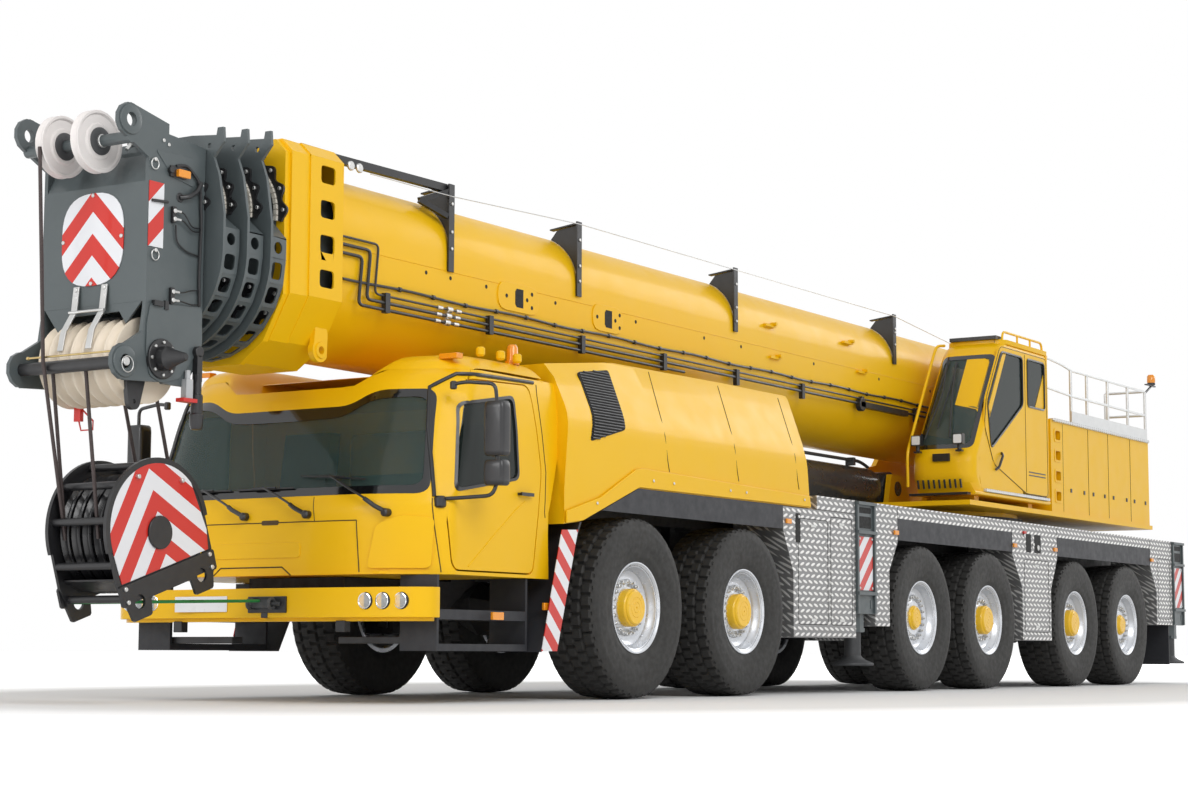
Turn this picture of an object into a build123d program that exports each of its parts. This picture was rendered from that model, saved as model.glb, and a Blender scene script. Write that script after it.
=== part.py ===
from build123d import *
from math import cos, hypot, pi, radians, sin
import os

# Six-axle all-terrain mobile crane with a five-piece telescopic boom, at full size in millimetres.
# X runs forward, Y to the driver's left and Z up. The origin is on the ground, under the middle.

# ---- driving dimensions: carrier ----
HALF_WIDTH = 1500  # carrier's side faces
REAR_X = -9125  # rear faces of the rear outrigger plates
FRONT_X = 9125  # front of the upper head sheaves
DECK_TOP = 1780
DECK_PLATE = 10
DECK_FRONT = 1130  # where the engine housings begin
DECK_EDGE_BOTTOM = 1660  # lower edge of the tread-plate strip along the deck
ARCH_TOP = 1450  # underside of everything that is over a wheel
PANEL = 12  # skirts, mudguards and end panels
BOX_INNER_Y = 1000  # inner faces of the side boxes
TIGHT = 0.5  # running gap where one piece bears on another
BAR_SIDES = 12  # of pins, shafts and eyes
DISC_SIDES = 16  # of rope sheaves and drums
LIFT_SIDES = 16
CLEAR = 5  # gap round pieces that move

# ---- driving dimensions: wheels and steering ----
TYRE_RADIUS = 715  # from the hub to the flat that is on the ground
TYRE_WIDTH = 500
BEAD_RADIUS = 330
RIM_SIDES = 16
HUB_SIDES = 8
HUB_TAPER = 28
KINGPIN_Y = 1120
KINGPIN_RADIUS = 45
KINGPIN_SIDES = 6
KINGPIN_HOLE = 55  # corner radius of its bores, so that their flats clear its corners
DRIVE_RADIUS, DRIVE_END_RADIUS, DRIVE_HALF = 215, 130, 190  # housing at the axle's middle
AXLE_HALF = 80
FORK_ARM = 50
FORK_GAP = 300  # height of the knuckle between the axle's fork arms
SPINDLE_RADIUS = 90
AXLES = (  # x of the axle, radius of its hubs, how far the hubs stand out of the disc
    (4195, 150, 105),
    (2436, 150, 105),
    (-1197, 120, 55),
    (-2878, 150, 105),
    (-5401, 150, 105),
    (-7112, 120, 55),
)

# ---- driving dimensions: frame and outriggers ----
FRAME_HALF = 450
FRAME_BOTTOM = 960
FRAME_SHOULDER = 750
FRAME_FRONT_X = 5150
OUTRIGGER_X = (140, -8925)
OUTRIGGER_WIDTH = 400
TUNNEL_HALF = HALF_WIDTH - 300
TUNNEL_BOTTOM, TUNNEL_TOP = 760, 1290
TUNNEL_WALL = 10
BEAM_SIDE_GAP = CLEAR
JACK_Y = HALF_WIDTH - 140
JACK_RADIUS = 105
BEAM_END = JACK_Y - JACK_RADIUS - 55  # a beam's inner end, short of the other side's jack
JACK_BORE = 80
JACK_BOTTOM, JACK_TOP = 560, 1700
END_PLATE = 40
FLOAT_RADIUS = 210
FLOAT_BOTTOM, FLOAT_TOP = 250, 320

# ---- driving dimensions: engine housings and front mudguard ----
HOUSING_NOSE = ((5045, 1350), (5290, 1320))  # lower edge in front of wheel 1, in X and Z
MUDGUARD_TOP_X, MUDGUARD_FOOT_X, MUDGUARD_FOOT_Z = 5058, 5595, 365
MUDGUARD_THICK = 24
FLAP_X, FLAP_Z = (-8640, -8620), (240, 730)

# ---- driving dimensions: driver's cab ----
CAB_REAR = 5330
CAB_FRONT = 6965
CAB_HALF = HALF_WIDTH - 80
CAB_FLOOR = 900
CAB_WALL = 45
DOOR = 28  # a door's thickness, inside the rebate of its frame
DOOR_LIP = 22  # how far the frame's rebate reaches behind the door
CAB_ROOF = 2550
CAB_TROUGH_ROOF = 2270  # roof under the boom
CAB_TROUGH_HALF = 560
GLASS = 8
STEP_X, STEP_Y = (5640, 6760), (CAB_HALF - 340, CAB_HALF - 20)
STEP_TREADS = ((370, 420), (590, 660))  # z low, z high
STEP_PLATE = 25
BUMPER_BOTTOM, BUMPER_TOP = 580, 810
BUMPER_FRONT = 7100
BUMPER_DEPTH = 160
BUMPER_SWEEP = ((6800, 30), (6880, 30), (7010, 270), (7075, 900))  # x, and how far inside the carrier's side
BUMPER_INNER = ((6800, 170), (6850, 370))
TOW_HALF, TOW_REAR, TOW_FRONT, TOW_Z = 420, 6600, 6960, (650, 800)
CAB_SHOULDER_X, CAB_CORNER, CAB_NOSE_HALF = 6600, 150, 350
CAB_CORNER_X, CAB_CHEEK_X, CAB_CHEEK_Y = 6780, 70, 520
CAB_BELT_Z, CAB_BROW_Z, CAB_EAVES_Z = 1500, 2290, 2380
SCREEN = ((290, 1530), (410, 2190), (660, 2230), (860, 2120))  # how far inside the cab's side, and Z
SCREEN_PANE = ((280, 1510), (380, 2230))
CAB_REAR_WINDOW_HALF, CAB_REAR_WINDOW_Z = 500, (1500, 2080)
CAB_SEAT_Y = 700
SEAT_BASE, SEAT_TOP, SEAT_BACK = 330, 450, 1130  # heights above a cab's floor
MIRROR_X, MIRROR_OUT = (6440, 6530), (200, 380)  # how far a mirror is from the cab's side
MIRROR_ARM = 25
MIRRORS = ((1730, 2120), (1510, 1700))  # z low, z high

# ---- driving dimensions: superstructure and boom ----
SLEW_X = -4155
SLEW_RADIUS = 1250
SLEW_RING_TOP = 1850
PLATFORM_TOP = 1950
RING_SIDES = 24
PIVOT_X, PIVOT_Z = -5705, 3050
PIVOT_RADIUS = 110
WINCH_X, WINCH_Z = -7400, 2500
WINCH_RADIUS, WINCH_FLANGE_RADIUS, WINCH_SHAFT_RADIUS = 230, 330, 60
WINCH_HALF, WINCH_FLANGE = 520, 20
WINCH_BEARER_Y = (560, 600)
CHEEK_Y, CHEEK = 680, 60
PLATFORM_X = (-8080, -2400)
CHEEK_FRONT = -2900
CHEEK_RISE = (  # the cheeks' upper edge from front to rear, in X and Z
    (-3300, 2300),
    (-4700, 2550),
    (PIVOT_X + 255, PIVOT_Z + 280),
    (PIVOT_X - 255, PIVOT_Z + 280),
    (-6900, 2700),
    (-8000, 2600),
)
BOOM_WALL = 12
BELLY_BENDS = 10
TOP_BENDS = 4  # in each of the boom's upper corners
BOOM_CROWN = 150  # half the flat between the upper corners, the same on every section
BOOM_REAR = -6300
LIFT_FOOT_X, LIFT_EYE_X, LIFT_Z = -3205, 1795, 2150
LIFT_BARREL_RADIUS, LIFT_ROD_RADIUS = 220, 150
LIFT_BARREL_BACK, LIFT_BARREL_FRONT = 250, 4150  # from the foot pin
LIFT_BARREL_END = 350
ROD_END_GAP = 50
LIFT_PIN_RADIUS, LIFT_EYE_RADIUS, LIFT_ROD_EYE_RADIUS = 80, 190, 170
LIFT_EYE_SIDE = 30  # between an eye and the plates beside it, less its washers
LIFT_LUG_Y = (230, 290)
LIFT_BRACKET_Y = (200, 260)
LIFT_BRACKET_TOP = 2560
# half width, belly, top, rear end, front end of the tube, then the collar's half width, bottom and top
SECTIONS = (
    (600, 2500, 3860, BOOM_REAR, 6765, 655, 2380, 3960),
    (548, 2556, 3796, -5250, 7560, 640, 2370, 3940),
    (500, 2606, 3736, -5180, 7775, 620, 2395, 3915),
    (454, 2652, 3680, -5110, 7990, 600, 2420, 3890),
    (410, 2696, 3626, -5040, 8210, 0, 0, 0),
)
COLLAR_ENDS = (7545, 7760, 7975, 8190)  # front faces of the four collars
COLLAR_WINDOWS_Z, COLLAR_WINDOW_X, COLLAR_WINDOW = (2680, 2880, 3090, 3300), (6880, 7130), 130
HEAD_REAR, HEAD_FRONT = 8200, 8745
HEAD_HALF, HEAD_PLATE = 477, 30
HEAD_BOTTOM, HEAD_TOP = 2110, 3790
HEAD_FACE = (2640, 3440, 3640)  # front plate's lower edge, start of its slope, and the roof's underside
HEAD_PIN_X = 8925
HEAD_PIN_TOP, HEAD_PIN_BOTTOM = 3810, 2220
HEAD_PIN_RADIUS = 45
HEAD_EYE_TOP, HEAD_EYE_BOTTOM = 115, 120
SHEAVE_X, SHEAVE_Z, SHEAVE_RADIUS = 8595, 2270, 290
SHEAVE_PITCH = 100
SHEAVE_SPACE = 30
SHEAVE_AXLE_RADIUS, SHEAVE_HUB_RADIUS = 70, 130
LOWER_SHEAVES = 7
TOP_SHEAVE_X, TOP_SHEAVE_Z, TOP_SHEAVE_RADIUS = 8910, 3700, 215
TOP_SHEAVE_Y = (-160, 160)
TOP_AXLE_RADIUS = 40
BLOCK_X, BLOCK_Z = 8350, 1147  # sheave axle of the hook block
BLOCK_TILT = 18  # degrees that the block is pulled back from plumb
BLOCK_HALF, BLOCK_CHEEK = 250, 25
BLOCK_OUTLINE = (  # a cheek's corners about the sheave axle in X and Z, with the block upright
    (-470, -380),
    (470, -380),
    (470, -60),
    (330, 330),
    (0, 480),
    (-330, 330),
    (-470, -60),
)
BLOCK_CROSSBARS = ((-400, -330), (400, -330), (-290, 340), (290, 340))
BLOCK_BOSS_RADIUS = 110
BLOCK_SHEAVE_RADIUS = 400
ROPE = 26
FALL_SHEAVES = (-2, 1)  # which sheaves, counted from the middle one, carry a fall



# ---- driving dimensions: upper cab, lockers and rails ----
UPPER_REAR, UPPER_FLOOR, UPPER_ROOF = -4600, 2010, 3740
UPPER_INNER_Y, UPPER_WALL = 780, 40
UPPER_FRONT = ((-2500, 2010), (-2410, 2200), (-2430, 2400), (-3260, 3660))  # the front's corners in X and Z
UPPER_PANE_Y = (UPPER_INNER_Y + 80, HALF_WIDTH - 80)
UPPER_DOOR = ((-4540, 2080), (-3560, 2080), (-3300, 2700), (-3480, 3600), (-4540, 3600))
UPPER_DOOR_WINDOW = ((-4460, 2900), (-3460, 2900), (-3560, 3500), (-4460, 3500))
UPPER_SEAT_Y = HALF_WIDTH - 360
LOCKER_X, LOCKER_Y, LOCKER_TOP = (-8065, -4775), (880, HALF_WIDTH - 50), 3000
RIGHT_LOCKER_FRONT, RIGHT_LOCKER_TOP = -6900, 2700
STEP_HOLES, STEP_HOLE_Z, STEP_HOLE_PITCH, STEP_HOLE_X = 4, 2080, 230, (-5060, -4900)
STEP_HOLE_HEIGHT, STEP_HOLE_DEPTH = 110, 120
RAIL_POSTS_X = (-8040, -7400, -6700, -6000, -5480)
RAIL_HALF, RAIL_TOP, RAIL_MIDDLE = 12, 3625, 3320
TOE_BOARD = 90


# ---- shapes that the pieces share ----
def block(x, y, z):
    """A box between two values each in X, Y and Z."""
    centre = Pos((x[0] + x[1]) / 2, (y[0] + y[1]) / 2, (z[0] + z[1]) / 2)
    return centre * Box(abs(x[1] - x[0]), abs(y[1] - y[0]), abs(z[1] - z[0]))


def side_plate(outline, y):
    """An outline in X and Z, carried across from the first y to the second."""
    wire = Polyline(*[(px, y[0], pz) for px, pz in outline], close=True)
    return extrude(make_face(wire), amount=abs(y[1] - y[0]), dir=(0, 1 if y[1] > y[0] else -1, 0))


def cross_plate(outline, x):
    """An outline in Y and Z, carried along from the first x to the second."""
    wire = Polyline(*[(x[0], py, pz) for py, pz in outline], close=True)
    return extrude(make_face(wire), amount=x[1] - x[0], dir=(1, 0, 0))


def floor_plate(outline, z):
    """An outline in X and Y, carried up from the first z to the second."""
    wire = Polyline(*[(px, py, z[0]) for px, py in outline], close=True)
    return extrude(make_face(wire), amount=z[1] - z[0], dir=(0, 0, 1))


def turned(stations, sides):
    """A many-sided drum about Y, through (y, radius of its flats) stations, with a flat at the bottom."""
    turns = [2 * pi * (n + 0.5) / sides for n in range(sides)]
    rings = []
    for y, radius in stations:
        corner = radius / cos(pi / sides)
        rings.append([(corner * sin(turn), y, -corner * cos(turn)) for turn in turns])
    outlines = [rings[0], rings[-1]]
    for near, far in zip(rings, rings[1:]):
        for n in range(sides):
            following = (n + 1) % sides
            outlines.append([near[n], near[following], far[following], far[n]])
    return Solid(Shell([Face(Wire.make_polygon(outline, close=True)) for outline in outlines]))


def post(x, y, z, radius, sides=8):
    """An upright many-sided bar from the first z to the second."""
    base = Plane((x, y, z[0])) * RegularPolygon(radius, sides, rotation=180 / sides)
    return extrude(base, amount=z[1] - z[0], dir=(0, 0, 1))


def across(x, z, radius, y, sides=BAR_SIDES, turn=0.5):
    """A many-sided bar along Y with its corners on the radius, turned by that share of a side."""
    face = RegularPolygon(radius, sides, rotation=turn * 360 / sides)
    base = Plane((x, y[0], z), x_dir=(1, 0, 0), z_dir=(0, 1, 0)) * face
    return extrude(base, amount=y[1] - y[0], dir=(0, 1, 0))


def along(x, z, radius, sides=LIFT_SIDES):
    """A many-sided bar along X at the height z, with its corners on the radius."""
    face = RegularPolygon(radius, sides, rotation=180 / sides)
    base = Plane((x[0], 0, z), x_dir=(0, 1, 0), z_dir=(1, 0, 0)) * face
    return extrude(base, amount=x[1] - x[0], dir=(1, 0, 0))


def bore(x, z, radius, y, sides=BAR_SIDES):
    """The cutter for a bearing along Y: its flats face a bar's corners with the running gap between them."""
    return across(x, z, (radius + TIGHT) / cos(pi / sides), (y[0] - 1, y[1] + 1), sides, turn=0)


def strut(start, end, width):
    """A six-sided bar between two points."""
    line = Line(start, end)
    face = Plane(line @ 0, z_dir=line % 0) * RegularPolygon(width / 2, 6)
    return extrude(face, amount=line.length, dir=line % 0)


def both_sides(part):
    """A piece on the left with its mirror image on the right."""
    return part + mirror(part, about=Plane.XZ)


def fused(pieces):
    """All the pieces as one."""
    whole = pieces[0]
    for piece in pieces[1:]:
        whole = whole + piece
    return whole


def eyelet(centre, radius, y, hole, foot):
    """A lug in X and Z with a round end and a hole at its centre, reaching back to the points of its foot."""
    x, z = centre
    lug = side_plate(foot, y) + across(x, z, radius, y)
    round_hole = Pos(x, (y[0] + y[1]) / 2, z) * Rot(90, 0, 0) * Cylinder(hole, y[1] - y[0] + 2)
    return lug - round_hole


# ---- wheels, knuckles and axles ----
def wheel(hub_radius, hub_proud):
    """Tyre, rim and hub about Y, with the outer side at +Y."""
    half = TYRE_WIDTH / 2
    bead, tread_half, shoulder_radius = half - 45, half - 50, TYRE_RADIUS - 115
    flare = 32
    side, tread = (half, shoulder_radius), (tread_half, TYRE_RADIUS)
    tyre = turned(((-side[0], side[1]), (-tread[0], tread[1]), tread, side), RIM_SIDES)
    tyre -= turned(((-half - 1, BEAD_RADIUS), (half + 1, BEAD_RADIUS)), RIM_SIDES)
    tyre -= turned(((bead, BEAD_RADIUS), (half + 1, BEAD_RADIUS + 92)), RIM_SIDES)
    disc = half - 140
    disc_plate = 20
    rim = turned(
        ((-bead, BEAD_RADIUS), (bead, BEAD_RADIUS), (bead + 18, BEAD_RADIUS + flare)), RIM_SIDES
    )
    rim -= turned(((disc, BEAD_RADIUS - 42), (bead + 19, BEAD_RADIUS - 8)), RIM_SIDES)
    rim -= turned(((-bead - 1, BEAD_RADIUS - 15), (disc - disc_plate, BEAD_RADIUS - 30)), RIM_SIDES)
    hub = turned(
        ((disc, hub_radius), (disc + hub_proud, hub_radius - HUB_TAPER)), HUB_SIDES
    )
    return tyre, rim, hub


def knuckle():
    """Steering knuckle about its kingpin, with the spindle towards +Y."""
    body_half = FORK_GAP / 2 - TIGHT
    pin_half = FORK_GAP / 2 + FORK_ARM
    disc_back = HALF_WIDTH - TYRE_WIDTH / 2 + (TYRE_WIDTH / 2 - 140) - 20 - KINGPIN_Y
    body = block((-70, 70), (-60, 70), (-body_half, body_half))
    body += post(0, 0, (-pin_half, pin_half), KINGPIN_RADIUS, KINGPIN_SIDES)
    return body + turned(((60, SPINDLE_RADIUS), (disc_back - TIGHT, SPINDLE_RADIUS)), KINGPIN_SIDES)


def axle_beam(x):
    """One dead beam with its fork ends, its drive housing and the suspension struts up to the frame."""
    arm_low, arm_high = FORK_GAP / 2, FORK_GAP / 2 + FORK_ARM
    strut_y, strut_half, strut_x = 620, 45, 150
    fork_root, fork_tip = KINGPIN_Y - 170, KINGPIN_Y + 62
    beam_z = (TYRE_RADIUS - 85, TYRE_RADIUS + 85)
    beam = block((x - AXLE_HALF, x + AXLE_HALF), (-fork_root, fork_root), beam_z)
    beam += Pos(x, 0, TYRE_RADIUS) * turned(
        ((-DRIVE_HALF, DRIVE_END_RADIUS), (0, DRIVE_RADIUS), (DRIVE_HALF, DRIVE_END_RADIUS)), HUB_SIDES
    )
    arms = []
    for low, high in ((arm_low, arm_high), (-arm_high, -arm_low)):
        arm_z = (TYRE_RADIUS + low, TYRE_RADIUS + high)
        arm = block((x - 62, x + 62), (fork_root - 60, fork_tip), arm_z)
        hole = post(x, KINGPIN_Y, (arm_z[0] - 1, arm_z[1] + 1), KINGPIN_HOLE, KINGPIN_SIDES)
        arms.append(arm - hole)
    root_z = (TYRE_RADIUS - arm_high, TYRE_RADIUS + arm_high)
    root = block((x - 62, x + 62), (fork_root - 60, fork_root), root_z)
    end = root + arms[0] + arms[1]
    for side in (-1, 1):
        foot_x = x + side * strut_x
        end += block(
            (foot_x - strut_half, foot_x + strut_half),
            (strut_y - strut_half, strut_y + strut_half),
            (TYRE_RADIUS - 60, ARCH_TOP),
        )
    end += block(
        (x - strut_x - strut_half, x + strut_x + strut_half),
        (strut_y - strut_half, strut_y + strut_half),
        (TYRE_RADIUS - 60, TYRE_RADIUS + 20),
    )
    return beam + both_sides(end)


def outrigger_bays():
    """(x low, x high, side) of each beam: the left beam lies ahead of the right one."""
    room = (OUTRIGGER_WIDTH - 3 * TUNNEL_WALL) / 2
    for x in OUTRIGGER_X:
        low = x - OUTRIGGER_WIDTH / 2 + TUNNEL_WALL
        yield x, ((low + room + TUNNEL_WALL, low + 2 * room + TUNNEL_WALL, 1), (low, low + room, -1))


def chassis():
    """Box frame with the outrigger tunnels, the slewing ring's seat and the six axles hung below."""
    profile = (
        (REAR_X + 20, FRAME_BOTTOM),
        (FRAME_FRONT_X - 250, FRAME_BOTTOM),
        (5400, 640),
        (6600, 640),
        (6600, CAB_FLOOR),
        (FRAME_FRONT_X + 140, CAB_FLOOR),
        (FRAME_FRONT_X + 100, 1300),
        (FRAME_FRONT_X + 100, ARCH_TOP),
        (REAR_X + 20, ARCH_TOP),
    )
    frame = side_plate(profile, (-FRAME_HALF, FRAME_HALF))
    frame += block(
        (REAR_X + 20, FRAME_FRONT_X), (-FRAME_SHOULDER, FRAME_SHOULDER), (ARCH_TOP, DECK_TOP - DECK_PLATE)
    )
    frame += post(SLEW_X, 0, (DECK_TOP - DECK_PLATE, SLEW_RING_TOP), SLEW_RADIUS, RING_SIDES)
    for x, bays in outrigger_bays():
        half = OUTRIGGER_WIDTH / 2
        frame += block((x - half, x + half), (-TUNNEL_HALF, TUNNEL_HALF), (TUNNEL_BOTTOM, TUNNEL_TOP))
        frame += block((x - half, x + half), (-FRAME_SHOULDER, FRAME_SHOULDER), (TUNNEL_TOP, ARCH_TOP))
        for low, high, _ in bays:
            frame -= block(
                (low, high),
                (-TUNNEL_HALF - 1, TUNNEL_HALF + 1),
                (TUNNEL_BOTTOM + TUNNEL_WALL, TUNNEL_TOP - TUNNEL_WALL),
            )
    for x, _, _ in AXLES:
        frame += axle_beam(x)
    return frame


# ---- outriggers ----
def outrigger(x, bay):
    """One sliding beam with the jack's outer tube and the end plate."""
    low, high, side = bay
    bottom, top = TUNNEL_BOTTOM + TUNNEL_WALL + TIGHT, TUNNEL_TOP - TUNNEL_WALL - CLEAR
    half = OUTRIGGER_WIDTH / 2
    beam = block((low + BEAM_SIDE_GAP, high - BEAM_SIDE_GAP), (-BEAM_END, JACK_Y), (bottom, top))
    beam += block((x - half + 30, x + half - 30), (TUNNEL_HALF + 20, HALF_WIDTH - END_PLATE), (bottom, top))
    beam += post(x, JACK_Y, (JACK_BOTTOM, JACK_TOP), JACK_RADIUS, HUB_SIDES)
    beam += block(
        (x - half, x + half), (HALF_WIDTH - END_PLATE, HALF_WIDTH), (JACK_BOTTOM + 170, DECK_TOP)
    )
    beam -= post(x, JACK_Y, (JACK_BOTTOM - 1, JACK_TOP - 40), JACK_BORE, HUB_SIDES)
    return beam if side > 0 else mirror(beam, about=Plane.XZ)


def jack_foot(x, side):
    """The jack's rod with its round float."""
    rod = post(x, JACK_Y, (FLOAT_TOP, JACK_TOP - 90), JACK_BORE - TIGHT, HUB_SIDES)
    rod += post(x, JACK_Y, (FLOAT_BOTTOM, FLOAT_TOP), FLOAT_RADIUS, HUB_SIDES)
    return rod if side > 0 else mirror(rod, about=Plane.XZ)


# ---- carrier bodywork ----
SIDE_BOXES = (  # outlines in X and Z of the boxes between the wheels
    (
        (1785, 1650),
        (1785, 1440),
        (1595, 1080),
        (1595, 505),
        (OUTRIGGER_X[0] + 210, 505),
        (OUTRIGGER_X[0] + 210, DECK_TOP - DECK_PLATE),
        (DECK_FRONT, DECK_TOP - DECK_PLATE),
        (DECK_FRONT, 1650),
    ),
    (
        (OUTRIGGER_X[0] - 210, DECK_TOP - DECK_PLATE),
        (-585, DECK_TOP - DECK_PLATE),
        (-585, 1440),
        (-385, 1150),
        (-385, 620),
        (OUTRIGGER_X[0] - 210, 620),
    ),
    (
        (-3465, DECK_TOP - DECK_PLATE),
        (-3465, 1430),
        (-3735, 1070),
        (-3735, 510),
        (-4568, 510),
        (-4568, 1070),
        (-4775, 1430),
        (-4775, DECK_TOP - DECK_PLATE),
    ),
    (
        (-7895, DECK_TOP - DECK_PLATE),
        (-7895, 1440),
        (-8115, 1150),
        (-8115, 730),
        (OUTRIGGER_X[1] + 210, 730),
        (OUTRIGGER_X[1] + 210, DECK_TOP - DECK_PLATE),
    ),
)


DECK_EDGES = (  # x low, x high of the edge strips over the wheels, between the boxes
    (-3465, -585),
    (-7895, -4775),
)


def deck_plating():
    """Tread-plate deck with its edge strips, and the boxes between the wheels as solids of their own."""
    rear, front = REAR_X + 20, DECK_FRONT
    z = (DECK_TOP - DECK_PLATE, DECK_TOP)
    deck = block((rear, front), (-HALF_WIDTH + 60, HALF_WIDTH - 60), z)
    deck -= post(SLEW_X, 0, (z[0] - 1, z[1] + 1), SLEW_RADIUS + CLEAR, RING_SIDES)
    strips = []
    edges = (
        (OUTRIGGER_X[1] + OUTRIGGER_WIDTH / 2 + CLEAR, OUTRIGGER_X[0] - OUTRIGGER_WIDTH / 2 - CLEAR),
        (OUTRIGGER_X[0] + OUTRIGGER_WIDTH / 2 + CLEAR, front),
    )
    for low, high in edges:
        strips.append(block((low, high), (HALF_WIDTH - 60, HALF_WIDTH), z))
    pieces = [deck + both_sides(fused(strips))]
    for outline in SIDE_BOXES:
        box = side_plate(outline, (BOX_INNER_Y, HALF_WIDTH))
        pieces += [box, mirror(box, about=Plane.XZ)]
    for low, high in DECK_EDGES:
        strip = block((low, high), (HALF_WIDTH - PANEL, HALF_WIDTH), (DECK_EDGE_BOTTOM, z[0]))
        pieces += [strip, mirror(strip, about=Plane.XZ)]
    return Compound(pieces)


def under_housing(x):
    """Height just below the engine housing's lower edge in front of wheel 1."""
    (x0, z0), (x1, z1) = HOUSING_NOSE
    return z0 + (z1 - z0) * (x - x0) / (x1 - x0) - TIGHT


def front_mudguard():
    """Slanting panel between wheel 1 and the cab, hung from the engine housing."""
    rear_x, front_x = MUDGUARD_TOP_X, MUDGUARD_TOP_X + MUDGUARD_THICK
    outline = (
        (rear_x, under_housing(rear_x)),
        (MUDGUARD_FOOT_X, MUDGUARD_FOOT_Z),
        (MUDGUARD_FOOT_X + MUDGUARD_THICK, MUDGUARD_FOOT_Z),
        (front_x, under_housing(front_x)),
    )
    return side_plate(outline, (BOX_INNER_Y, HALF_WIDTH))


def cab_steps():
    """Two treads between end plates that hang from the cab's floor."""
    rear, front = STEP_X
    pieces = [block(STEP_X, STEP_Y, z) for z in STEP_TREADS]
    for x in ((rear, rear + STEP_PLATE), (front - STEP_PLATE, front)):
        pieces.append(block(x, STEP_Y, (STEP_TREADS[0][0], CAB_FLOOR - TIGHT)))
    return fused(pieces)


def mudguards_and_steps():
    """Rubber skirts over the wheels, the front mudguards, the rear mudflaps and the cab's step boxes."""
    y = (HALF_WIDTH - PANEL, HALF_WIDTH)
    skirts = [block(x, y, (ARCH_TOP, DECK_EDGE_BOTTOM)) for x in DECK_EDGES]
    pieces = skirts + [
        side_plate(((1785, ARCH_TOP), (4773, ARCH_TOP), (4225, 1652), (1785, 1656)), y),
        front_mudguard(),
        block(FLAP_X, (BOX_INNER_Y + 20, HALF_WIDTH - 30), FLAP_Z),
        cab_steps(),
    ]
    return both_sides(fused(pieces))


def engine_housings():
    """The yellow housings on both sides of the boom, with sloped tops and a falling lower edge."""
    outline = (
        (1135, 2710),
        (1335, 2170),
        (1255, 1660),
        (4225, 1652),
        *HOUSING_NOSE,
        (HOUSING_NOSE[1][0], 1780),
        (5185, 2560),
        (4145, 2680),
    )
    section = (
        (FRAME_SHOULDER, 1300),
        (HALF_WIDTH, 1300),
        (HALF_WIDTH, 2160),
        (1200, 2720),
        (FRAME_SHOULDER, 2720),
    )
    left = side_plate(outline, (FRAME_SHOULDER, HALF_WIDTH)) & cross_plate(section, (1000, 5500))
    return both_sides(left)


def engine_block():
    """The diesel between the housings, as one plain block."""
    return block((2500, 4300), (-480, 480), (DECK_TOP - DECK_PLATE, 2250))


# ---- driver's cab ----
def cab_form(inset):
    """The cab's outer form, or that form taken in on every side."""
    half, front, rear = CAB_HALF - inset, CAB_FRONT - inset, CAB_REAR + inset
    plan = [
        (rear, half),
        (CAB_SHOULDER_X, half),
        (CAB_CORNER_X - inset, half - CAB_CORNER),
        (front - CAB_CHEEK_X, half - CAB_CHEEK_Y),
        (front, CAB_NOSE_HALF),
    ]
    plan += [(x, -y) for x, y in reversed(plan)]
    roof, trough = CAB_ROOF - inset, CAB_TROUGH_ROOF - inset
    side = (
        (rear + 240, CAB_FLOOR + inset),
        (front, CAB_FLOOR + inset),
        (front, CAB_BELT_Z),
        (6700 - inset, CAB_BROW_Z - inset),
        (6560 - inset, 2400 - inset),
        (6000, roof - 10),
        (rear + 130, roof),
        (rear, 1700),
        (rear, CAB_BELT_Z),
    )
    top = (
        (-half, CAB_FLOOR),
        (half, CAB_FLOOR),
        (half, CAB_EAVES_Z - inset),
        (half - 130, roof),
        (800 + inset, roof),
        (CAB_TROUGH_HALF + inset, trough),
        (-CAB_TROUGH_HALF - inset, trough),
        (-800 - inset, roof),
        (-half + 130, roof),
        (-half, CAB_EAVES_Z - inset),
    )
    body = floor_plate(plan, (CAB_FLOOR + inset, CAB_ROOF)) & side_plate(side, (-half - 10, half + 10))
    return body & cross_plate(top, (CAB_REAR - 10, CAB_FRONT + 10))


DOOR_OUTLINE = (  # in X and Z
    (5600, 925),
    (6560, 925),
    (6570, 1500),
    (6500, 2200),
    (6380, 2330),
    (5560, 2340),
    (5470, 1700),
)
DOOR_WINDOW = ((6455, 1520), (6380, 2130), (6320, 2190), (5640, 2230), (5580, 1720))


def grown(outline, gap):
    """An outline in X and Z pushed out about its middle by a gap."""
    middle_x = sum(x for x, _ in outline) / len(outline)
    middle_z = sum(z for _, z in outline) / len(outline)
    signs = [(1 if x > middle_x else -1, 1 if z > middle_z else -1) for x, z in outline]
    return [(x + gap * right, z + gap * up) for (x, z), (right, up) in zip(outline, signs)]


def cab_shell():
    """Cab walls, floor and roof with the windscreen, side and rear windows and both doorways cut."""
    shell = cab_form(0) - cab_form(CAB_WALL)
    right = [(CAB_HALF - inside, z) for inside, z in SCREEN]
    shell -= cross_plate(right + [(-y, z) for y, z in reversed(right)], (6500, BUMPER_FRONT))
    shell -= block(
        (CAB_REAR - 50, CAB_REAR + 250), (-CAB_REAR_WINDOW_HALF, CAB_REAR_WINDOW_HALF), CAB_REAR_WINDOW_Z
    )
    doorway = side_plate(grown(DOOR_OUTLINE, CLEAR), (CAB_HALF - DOOR - TIGHT, CAB_HALF + 30))
    doorway += side_plate(grown(DOOR_OUTLINE, -DOOR_LIP), (CAB_HALF - CAB_WALL - 30, CAB_HALF))
    return shell - both_sides(doorway)


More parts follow.
